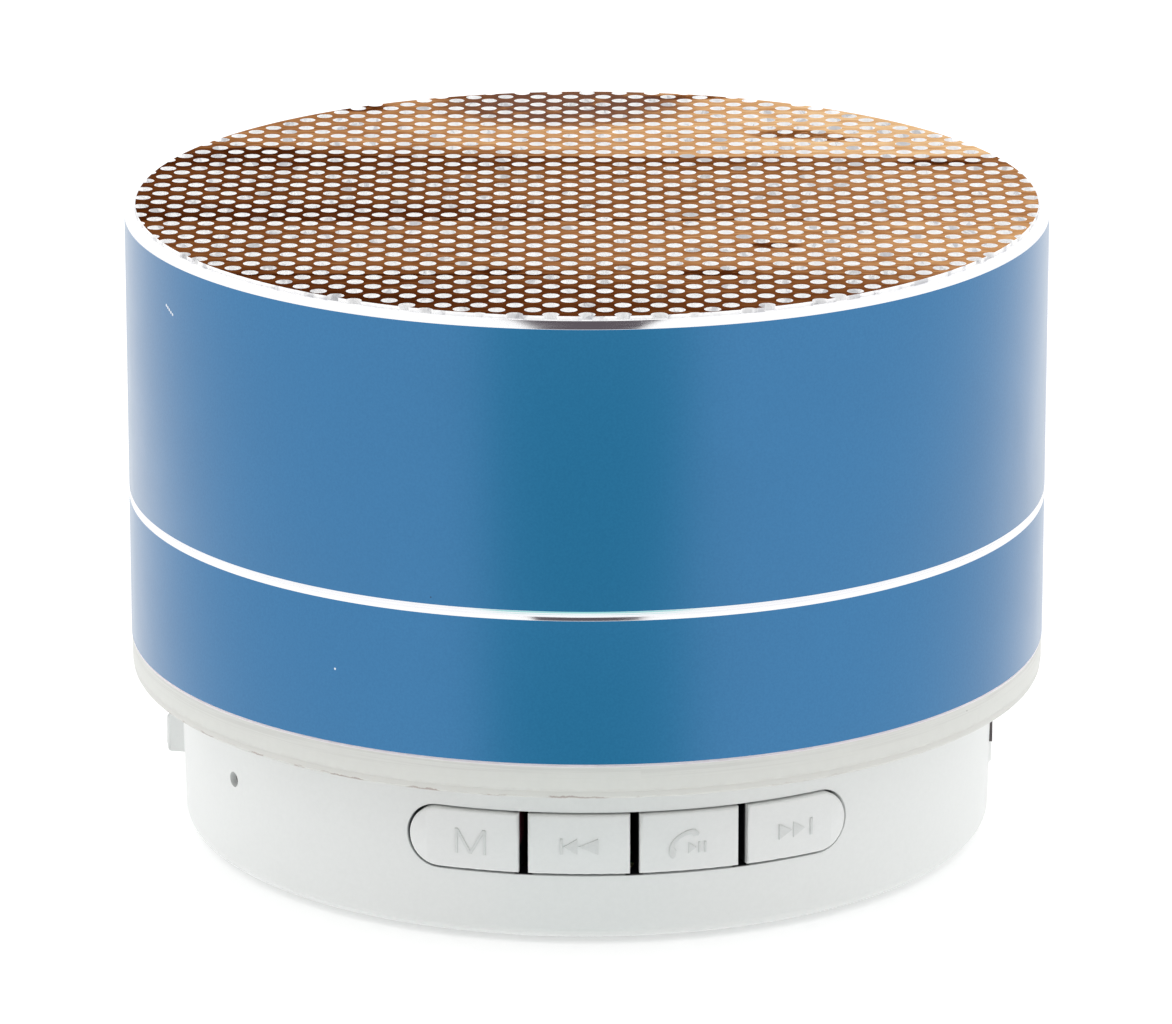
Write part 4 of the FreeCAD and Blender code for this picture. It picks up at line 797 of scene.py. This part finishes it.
looks = {
    "white_plastic": ("whitePlastic", (0.795, 0.81, 0.798), (0.775, 0.79, 0.778), 3.0, 0.0008, 0.38,
        {"soil": 0.015, "specks": (0.66, 0.65, 0.63), "Coat Weight": 0.1}),
    # the keys' plastic turns to painted shade below these radii, far into the gaps
    "key_plastic": ("keyPlastic", (0.81, 0.822, 0.812), (0.79, 0.802, 0.792), 3.5, 0.0008, 0.34,
        {"soil": 0.015, "deep": (26.66, 26.4), "Coat Weight": 0.15}),
    "white_cloth": ("scrimCloth", (0.9, 0.9, 0.89), (0.62, 0.62, 0.62), 2.6, 0.06, 0.9,
        {"pattern": "weave", "Sheen Weight": 0.3}),
    "rubber": ("footRubber", (0.045, 0.045, 0.047), (0.028, 0.028, 0.03), 2.2, 0.03, 0.78,
        {"soil": 0.3, "specks": (0.12, 0.12, 0.11), "Specular IOR Level": 0.35}),
    "foam": ("gasketFoam", (0.055, 0.055, 0.06), (0.015, 0.015, 0.016), 2.8, 0.12, 0.95),
    "foam_tape": ("foamTape", (0.78, 0.77, 0.74), (0.55, 0.54, 0.52), 2.8, 0.08, 0.9),
    "frame_plastic": ("framePlastic", (0.062, 0.064, 0.068), (0.045, 0.046, 0.05), 2.4, 0.008, 0.5),
    "pressed_steel": ("pressedSteel", (0.62, 0.62, 0.6), (0.46, 0.46, 0.45), 3.0, 0.004, 0.34,
        {"pattern": "lines", "Metallic": 1.0}),
    "ferrite": ("ferrite", (0.085, 0.083, 0.085), (0.045, 0.044, 0.046), 2.0, 0.02, 0.62,
        {"specks": (0.25, 0.24, 0.24)}),
    "paper_cone": ("paperCone", (0.06, 0.058, 0.056), (0.028, 0.027, 0.026), 1.4, 0.05, 0.85,
        {"specks": (0.14, 0.13, 0.12), "Sheen Weight": 0.15}),
    "cloth_spider": ("spiderCloth", (0.6, 0.42, 0.16), (0.34, 0.21, 0.07), 2.2, 0.05, 0.8, {"pattern": "weave"}),
    "black_plastic": ("blackPlastic", (0.035, 0.035, 0.037), (0.022, 0.022, 0.024), 3.2, 0.006, 0.42),
    "bright_steel": ("socketSteel", (0.72, 0.72, 0.71), (0.58, 0.58, 0.57), 1.2, 0.003, 0.24,
        {"Metallic": 1.0, "spread": 0.1}),
    "screw_steel": ("screwSteel", (0.5, 0.5, 0.52), (0.34, 0.34, 0.36), 8.0, 0.004, 0.32,
        {"pattern": "lines", "Metallic": 1.0}),
    "chip_black": ("chipResin", (0.04, 0.04, 0.042), (0.026, 0.026, 0.028), 6.0, 0.01, 0.6),
    "lamp_clear": ("lampLens", (0.93, 0.86, 0.55), (0.88, 0.76, 0.38), 2.0, 0.002, 0.2,
        {"Transmission Weight": 0.4, "Coat Weight": 0.5}),
    "cell_foil": ("cellFoil", (0.7, 0.71, 0.73), (0.55, 0.56, 0.58), 0.35, 0.12, 0.36,
        {"Metallic": 0.9, "spread": 0.12}),
    "wire_red": ("redInsulation", (0.55, 0.02, 0.02), (0.42, 0.015, 0.015), 1.5, 0.004, 0.45),
    "wire_black": ("blackInsulation", (0.03, 0.03, 0.03), (0.02, 0.02, 0.02), 1.5, 0.004, 0.45),
    "copper_braid": ("tinselBraid", (0.8, 0.42, 0.22), (0.36, 0.15, 0.06), 6.0, 0.05, 0.35,
        {"pattern": "weave", "Metallic": 1.0}),
    "terminal_board": ("terminalBoard", (0.33, 0.17, 0.07), (0.24, 0.11, 0.045), 2.0, 0.01, 0.6),
}
finishes = {"anodised_blue": makeAnodised(), "printed_grille": makePrintedGrille(), "board_green": makeBoard(),
            "kapton_coil": makeWinding(), "capacitor_can": makeCan(), "light_plastic": makeMilky()}
finishes.update({slot: makeFinish(*look) for slot, look in looks.items()})
brightCut = makeFinish("brightCut", (0.95, 0.95, 0.96), (0.9, 0.9, 0.92), 14.0, 0.0004, 0.07,
    {"pattern": "lines", "Metallic": 1.0, "soil": 0.02})
# the marks' whole raised face is greyer, a painted shade for the shading round their raised edges
markShade = makeFinish("markShade", (0.71, 0.725, 0.715), (0.66, 0.675, 0.665), 3.5, 0.0008, 0.4, {"soil": 0.02})
slotPlastic = makeFinish("slotPlastic", (0.125, 0.098, 0.102), (0.095, 0.075, 0.08), 3.2, 0.004, 0.5)
goldPlate = makeFinish("goldPlate", (0.92, 0.68, 0.3), (0.75, 0.52, 0.2), 3.0, 0.003, 0.25, {"Metallic": 1.0})
print("finishes made:", len(finishes))


# The sleeve: a lathe-turned tube, blue outside, its groove, rim and seat cut bright.

sleeve = {"bore": 28.6 * mm, "seatRadius": 29.33 * mm, "seatHeight": 41.2 * mm, "rimBevel": 0.45 * mm,
          "grooveHeight": 22.94 * mm, "grooveHalf": 0.3 * mm, "footBevel": 0.07 * mm, "crisp": 0.025 * mm,
          "boreBand": 0.1 * mm}


def makeSleeve():
    low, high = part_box("body_sleeve")
    radius = high.x
    half = sleeve["grooveHalf"]
    foot = sleeve["footBevel"]
    groove = [(radius, sleeve["grooveHeight"] - half), (radius - half, sleeve["grooveHeight"]),
              (radius, sleeve["grooveHeight"] + half)]
    rim = [(radius, high.z - sleeve["rimBevel"]), (radius - sleeve["rimBevel"], high.z),
           (sleeve["seatRadius"], high.z)]
    rings = [(sleeve["bore"], low.z), (radius - foot, low.z), (radius, low.z + foot), *groove, *rim,
             (sleeve["seatRadius"], sleeve["seatHeight"]), (sleeve["bore"], sleeve["seatHeight"])]
    piece = smoothPiece(bevelRings(turnPiece("bodySleeve", rings, 360), groove + rim, sleeve["crisp"]), 20)
    dress(piece, "speaker_body", "anodised_blue", ["body_sleeve"])
    grooveLow, grooveHigh = groove[0][1], groove[2][1]
    paintFaces(piece, brightCut, lambda centre, normal: (
        grooveLow < centre.z < grooveHigh or centre.z > rim[0][1] or centre.z < low.z + foot * 0.9
        or (centre.z > sleeve["seatHeight"] - foot and math.hypot(centre.x, centre.y) < sleeve["seatRadius"] + foot)
        or math.hypot(centre.x, centre.y) < sleeve["bore"] + sleeve["boreBand"]))


makeSleeve()
print("sleeve turned")


# The light ring: milky, a little stepped near its foot, with a tongue that stands up inside the sleeve.

lightRing = {"inner": 26.0 * mm, "tongueOuter": 28.5 * mm, "tongueInner": 27.3 * mm, "spigotTop": 13.0 * mm,
             "edge": 0.12 * mm, "step": 0.05 * mm, "stepLow": 0.46 * mm, "stepHigh": 0.52 * mm, "lip": 0.1 * mm}


def makeLightRing():
    low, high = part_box("light_ring")
    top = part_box("body_sleeve")[0].z
    outer = high.x
    inset = outer - lightRing["step"]
    rings = [(lightRing["inner"], low.z), (outer - lightRing["edge"], low.z), (inset, low.z + lightRing["edge"]),
             (inset, low.z + lightRing["stepLow"]), (outer, low.z + lightRing["stepHigh"]),
             (outer, top - lightRing["lip"]), (outer - lightRing["lip"], top), (lightRing["tongueOuter"], top),
             (lightRing["tongueOuter"], high.z), (lightRing["tongueInner"], high.z),
             (lightRing["tongueInner"], lightRing["spigotTop"]), (lightRing["inner"], lightRing["spigotTop"])]
    dress(smoothPiece(turnPiece("lightRing", rings, 300), 24), "speaker_body", "light_plastic", ["light_ring"])


makeLightRing()
print("light ring turned")


# The base: a lathe-turned cup, its windows cut, their outer edges broken, and the posts set on its floor.

base = {"padRadius": 24.1 * mm, "footRadius": 26.55 * mm, "footHeight": 0.4 * mm, "recess": 0.8 * mm,
        "shoulder": 11.0 * mm, "spigot": 25.95 * mm, "inner": 25.05 * mm, "floor": 2.0 * mm, "edge": 0.88 * mm,
        "corners": 0.12 * mm, "broken": 0.07 * mm, "brokenBand": (2.5 * mm, 10.5 * mm), "tiny": 0.02 * mm,
        "sunk": 0.05 * mm, "headBore": 1.9 * mm}
cut = {"near": 23.5 * mm, "far": 28.0 * mm, "slotMiddle": 26.0 * mm, "slotDepth": 5 * mm, "slack": 0.1 * mm}
keyWindow = {"end": 31.65, "low": 4.73 * mm, "high": 8.98 * mm}
wallSlots = {  # (across, high), height of the middle, azimuth and corner
    "switch": ((5.8 * mm, 3.55 * mm), 4.525 * mm, -108.0, 0.5 * mm),
    "card": ((13.4 * mm, 1.8 * mm), 6.5 * mm, 92.0, 0.05 * mm),
    "usb": ((8.2 * mm, 3.2 * mm), 5.75 * mm, 160.0, 0.8 * mm)}
wallHoles = {"jack": (2.7 * mm, 6.9 * mm, -155.0), "mic": (0.5 * mm, 6.86 * mm, -65.0)}
cardLips = {"azimuth": 92.0, "heights": (4.85 * mm, 8.15 * mm), "size": (13.0 * mm, 1.15 * mm, 1.5 * mm),
            "reach": 25.625 * mm, "soft": 0.15 * mm, "round": 0.9 * mm}
casePosts = [(20.5 * mm, azimuth) for azimuth in (-130.0, -45.0, 45.0, 130.0)]
boardPosts = [(16.0 * mm, azimuth) for azimuth in (-75.0, 58.0, 180.0)]
postKinds = [  # places, radius and top, then each bore's radius, start and end
    (casePosts, 2.6 * mm, 12.8 * mm, [(base["headBore"], 0, 7.4 * mm), (1.05 * mm, mm, 14 * mm)]),
    (boardPosts, 2.0 * mm, 3.2 * mm, [(0.8 * mm, 1.2 * mm, 4 * mm)])]


def azimuthOf(place):
    return math.degrees(math.atan2(place.x, -place.y))


def windowCutters():
    low, high, end = keyWindow["low"], keyWindow["high"], keyWindow["end"]
    half = (high - low) / 2
    spread = end - math.degrees(math.asin(half / base["footRadius"]))
    clearSelection()
    bpy.ops.mesh.primitive_plane_add(size=1, location=(0, -(cut["near"] + cut["far"]) / 2, (low + high) / 2),
                                     rotation=(0, math.pi / 2, 0))
    sector = nameNewest("windowSector")
    sector.scale = (high - low, cut["far"] - cut["near"], 1)
    settle(sector)
    turnTo(sector, spread)  # the spin turns it back to the other side
    openMesh(sector, "SELECT")
    bpy.ops.mesh.spin(steps=40, angle=math.radians(2 * spread), center=(0, 0, 0), axis=(0, 0, 1))
    closeMesh()
    return [cleanMesh(sector)] + [rodPiece("windowEnd", half, cut["near"], cut["far"], (low + high) / 2, side * end,
                                           64, -side * half) for side in (-1, 1)]


def post(name, place, radius, low, high):
    circle, azimuth = place
    clearSelection()
    bpy.ops.mesh.primitive_cylinder_add(vertices=40, radius=radius, depth=high - low,
                                        location=azimuthVector(azimuth) * circle + Vector((0, 0, (low + high) / 2)))
    return settle(nameNewest(name))


def onOuterWall(first, second):
    middle = (first + second) / 2
    outside = math.hypot(middle.x, middle.y) > base["footRadius"] - cut["slack"]
    return outside and base["brokenBand"][0] < middle.z < base["brokenBand"][1]


def makeBase():
    radius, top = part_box("base_shell")[1].xz
    rings = [(nearAxis, base["recess"]), (base["padRadius"], base["recess"]), (base["padRadius"], base["footHeight"]),
             (base["footRadius"], base["footHeight"]), (radius, base["shoulder"]), (base["spigot"], base["shoulder"]),
             (base["spigot"], top), (base["inner"], top), (base["inner"], base["floor"]), (nearAxis, base["floor"])]
    piece = turnPiece("baseShell", rings, 240, closed=False)
    bevelRings(piece, [rings[3]], base["edge"], 8)
    bevelRings(piece, rings[2:3] + rings[6:7], base["corners"])
    cutters = windowCutters()
    for (across, high), height, azimuth, corner in wallSlots.values():
        cutters.append(blockPiece("slot", (across, cut["slotDepth"], high), (0, cut["slotMiddle"], height),
                                  azimuth, corner))
    for holeRadius, height, azimuth in wallHoles.values():
        cutters.append(rodPiece("hole", holeRadius, cut["near"], cut["far"], height, azimuth, 40))
    cutters += [post("bore", place, base["headBore"], -mm, base["floor"] + mm) for place in casePosts]
    cutAway(piece, cutters)
    steadyOrder(piece)
    openMesh(piece, "SELECT")
    bpy.ops.mesh.remove_doubles(threshold=base["tiny"])
    pickSharp(35)
    pickEdges(piece, onOuterWall, amongPicked=True)
    bevelPicked(base["broken"], 2, clamp=True)
    closeMesh()
    posts = []
    for places, radius, top, bores in postKinds:
        for place in places:
            column = post("post", place, radius, base["floor"] - base["sunk"], top)
            posts.append(cutAway(column, [post("bore", place, *bore) for bore in bores]))
    smoothPiece(piece, 30)
    applyModifier(piece, "WEIGHTED_NORMAL", keep_sharp=True, weight=80)
    dress(piece, "speaker_body", "white_plastic", ["base_shell"])
    # the window's walls take the key finish, with its painted shade far into the gaps
    paintFaces(piece, finishes["key_plastic"], lambda centre, normal: (
        abs(azimuthOf(centre)) < keyWindow["end"]
        and keyWindow["low"] - cut["slack"] < centre.z < keyWindow["high"] + cut["slack"]
        and math.hypot(centre.x, centre.y) < base["footRadius"] + base["sunk"]
        and abs(normal.x * centre.x + normal.y * centre.y) < 0.6 * math.hypot(centre.x, centre.y)))
    dress(smoothPiece(joinPieces(posts, "basePosts"), 30), "speaker_body", "white_plastic")
    lips = []
    for height in cardLips["heights"]:
        lip = blockPiece("cardLip", cardLips["size"], (0, cardLips["reach"], height))
        openMesh(lip)
        pickEdges(lip, lambda first, second: (
            abs(first.z - second.z) > cardLips["round"] and first.y < -cardLips["reach"]))
        bevelPicked(cardLips["round"], 5)
        pickSharp(50)
        bevelPicked(cardLips["soft"], 3)
        closeMesh()
        lips.append(turnTo(lip, cardLips["azimuth"]))
    dress(smoothPiece(joinPieces(lips, "cardLips"), 35), "speaker_body", "white_plastic")


makeBase()
print("base made")


# The keys: merged copies with soft faces, each with its raised mark.

keyMarks = {"face": 26.95 * mm, "sunk": 0.06 * mm, "proud": 0.07 * mm, "soft": 0.03 * mm, "height": 6.8 * mm}


def bar(left, right, low, high):
    return [(left, low), (right, low), (right, high), (left, high)]


def arrow(tip, back, middle, half):  # a triangle that points from its back to its tip
    return [(tip, middle), (back, middle + half), (back, middle - half)]


markShapes = {
    "mode": (-22.3, [[(-1.0, -0.82), (-0.84, -0.82), (-0.84, 0.50), (-0.08, -0.82), (0.08, -0.82), (0.84, 0.50),
                      (0.84, -0.82), (1.0, -0.82), (1.0, 0.82), (0.80, 0.82), (0.0, -0.58), (-0.80, 0.82),
                      (-1.0, 0.82)]]),
    "previous": (-7.5, [bar(-1.2, -1.04, -0.52, 0.52), arrow(-0.98, -0.12, 0.0, 0.52), arrow(-0.02, 1.2, 0.0, 0.52)]),
    "play": (7.4, [
        [(-1.33, -0.64), (-1.31, -0.27), (-1.18, 0.08), (-0.95, 0.36), (-0.60, 0.63), (-0.20, 0.82), (0.22, 0.92),
         (0.44, 0.84), (0.66, 0.60), (0.56, 0.46), (0.24, 0.44), (0.10, 0.58), (-0.28, 0.50), (-0.62, 0.32),
         (-0.88, 0.06), (-1.02, -0.24), (-0.84, -0.42), (-0.90, -0.80), (-1.08, -0.96), (-1.24, -0.86)],
        arrow(0.46, -0.06, -0.32, 0.36), bar(0.58, 0.70, -0.68, 0.04), bar(0.98, 1.11, -0.68, 0.04)]),
    "next": (23.2, [arrow(-0.42, -1.36, 0.0, 0.52), arrow(0.52, -0.32, 0.0, 0.52), bar(0.92, 1.1, -0.55, 0.55)]),
}


def makeMark(key, azimuth, outlines):
    drawing = bpy.data.curves.new(key + "KeyMark", "CURVE")
    drawing.dimensions = "2D"
    drawing.fill_mode = "BOTH"
    drawing.extrude = (keyMarks["sunk"] + keyMarks["proud"]) / 2 - keyMarks["soft"]
    drawing.bevel_depth = keyMarks["soft"]
    drawing.offset = -keyMarks["soft"]
    drawing.bevel_resolution = 1
    for outline in outlines:
        spline = drawing.splines.new("POLY")
        spline.points.add(len(outline) - 1)
        for point, (across, up) in zip(spline.points, outline):
            point.co = (across * mm, up * mm, 0, 1)
        spline.use_cyclic_u = True
    clearSelection()
    piece = bpy.data.objects.new(key + "KeyMark", drawing)
    bpy.context.scene.collection.objects.link(piece)
    takePiece(piece)
    bpy.ops.object.convert(target="MESH")
    piece = nameNewest(key + "KeyMark")
    piece.location = (0, (keyMarks["sunk"] - keyMarks["proud"]) / 2 - keyMarks["face"], keyMarks["height"])
    piece.rotation_euler.x = math.pi / 2
    return smoothPiece(cleanMesh(turnTo(settle(piece), azimuth)), 40)


def makeKeys():
    for key, (azimuth, outlines) in markShapes.items():
        piece = smoothPiece(copyNode(key + "_key", key + "Key"), 40)
        applyModifier(piece, "WEIGHTED_NORMAL", keep_sharp=True, weight=80)
        dress(piece, key + "_key_body", "key_plastic", [key + "_key"])
        dress(makeMark(key, azimuth, outlines), key + "_key_body", "key_plastic", finish=markShade)


makeKeys()
print("keys made")


# The slide switch's knob, with grip ribs on its face.

knob = {"azimuth": -108.0, "shift": 1.0 * mm, "face": 28.1 * mm, "height": 4.45 * mm, "count": 5,
        "pitch": 0.56 * mm, "rib": (0.2 * mm, 0.3 * mm, 1.9 * mm), "sunk": 0.05 * mm, "soft": 0.07 * mm}


def makeKnob():
    piece = smoothPiece(copyNode("power_knob", "powerKnob"), 35)
    dress(piece, "power_knob_body", "white_plastic", ["power_knob"])
    ribs = []
    for sideways in inRow(knob):
        place = (knob["shift"] + sideways, knob["face"] - knob["sunk"], knob["height"])
        rib = blockPiece("rib", knob["rib"], place)
        openMesh(rib, "SELECT")
        bevelPicked(knob["soft"], 3)
        closeMesh()
        ribs.append(turnTo(rib, knob["azimuth"]))
    dress(smoothPiece(joinPieces(ribs, "knobGrip"), 40), "power_knob_body", "white_plastic")


makeKnob()
print("switch knob made")


# The sockets' metal: contact strips under the inlet's tongue, and a ring round the jack's mouth.

contacts = {"azimuth": 160.0, "size": (0.36 * mm, 2.4 * mm, 0.22 * mm), "reach": 23.96 * mm,
            "height": 5.68 * mm, "count": 5, "pitch": 0.65 * mm}
jackRing = {"azimuth": -155.0, "height": 6.9 * mm, "near": 26.2 * mm, "far": 26.46 * mm, "outer": 2.25 * mm,
            "inner": 1.82 * mm}


def makeSocketMetal():
    strips = [blockPiece("contactStrip", contacts["size"], (sideways, contacts["reach"], contacts["height"]),
                         contacts["azimuth"]) for sideways in inRow(contacts)]
    dress(joinPieces(strips, "inletContacts"), "speaker_body", "bright_steel", finish=goldPlate)
    place = (jackRing["height"], jackRing["azimuth"])
    ring = rodPiece("jackRing", jackRing["outer"], jackRing["near"], jackRing["far"], *place)
    cutAway(ring, [rodPiece("bore", jackRing["inner"], jackRing["near"] - mm, jackRing["far"] + mm, *place)])
    dress(smoothPiece(ring), "speaker_body", "bright_steel")


makeSocketMetal()
print("socket metal made")


# The foot: a moulded pad with ring grooves in its underside.

foot = {"soft": 0.2 * mm, "grooves": (9.0, 14.0, 19.0), "grooveWidth": 0.5 * mm, "grooveDepth": 0.14 * mm}


def makeFoot():
    low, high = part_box("foot_pad")
    radius = high.x
    soft = foot["soft"]
    rings = [(nearAxis, low.z)]
    for circle in foot["grooves"]:
        middle = circle * mm
        half = foot["grooveWidth"] / 2
        rings += [(middle - half, low.z), (middle - half * 0.5, low.z + foot["grooveDepth"]),
                  (middle + half * 0.5, low.z + foot["grooveDepth"]), (middle + half, low.z)]
    rings += [(radius - soft, low.z), (radius - soft * 0.3, low.z + soft * 0.3), (radius, low.z + soft),
              (radius, high.z), (nearAxis, high.z)]
    dress(smoothPiece(turnPiece("footPad", rings, 160, closed=False), 25), "speaker_body", "rubber", ["foot_pad"])


makeFoot()
print("foot made")


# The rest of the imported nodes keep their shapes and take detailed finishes.

slotOf = {part["node"]: part["material_slot"] for part in frame["record"]["subparts"]}
for nodeName, node in nodes.items():
    for holder in node.material_slots:
        holder.material = slotPlastic if nodeName == "card_base" else finishes[slotOf[nodeName]]
print("packed nodes finished")
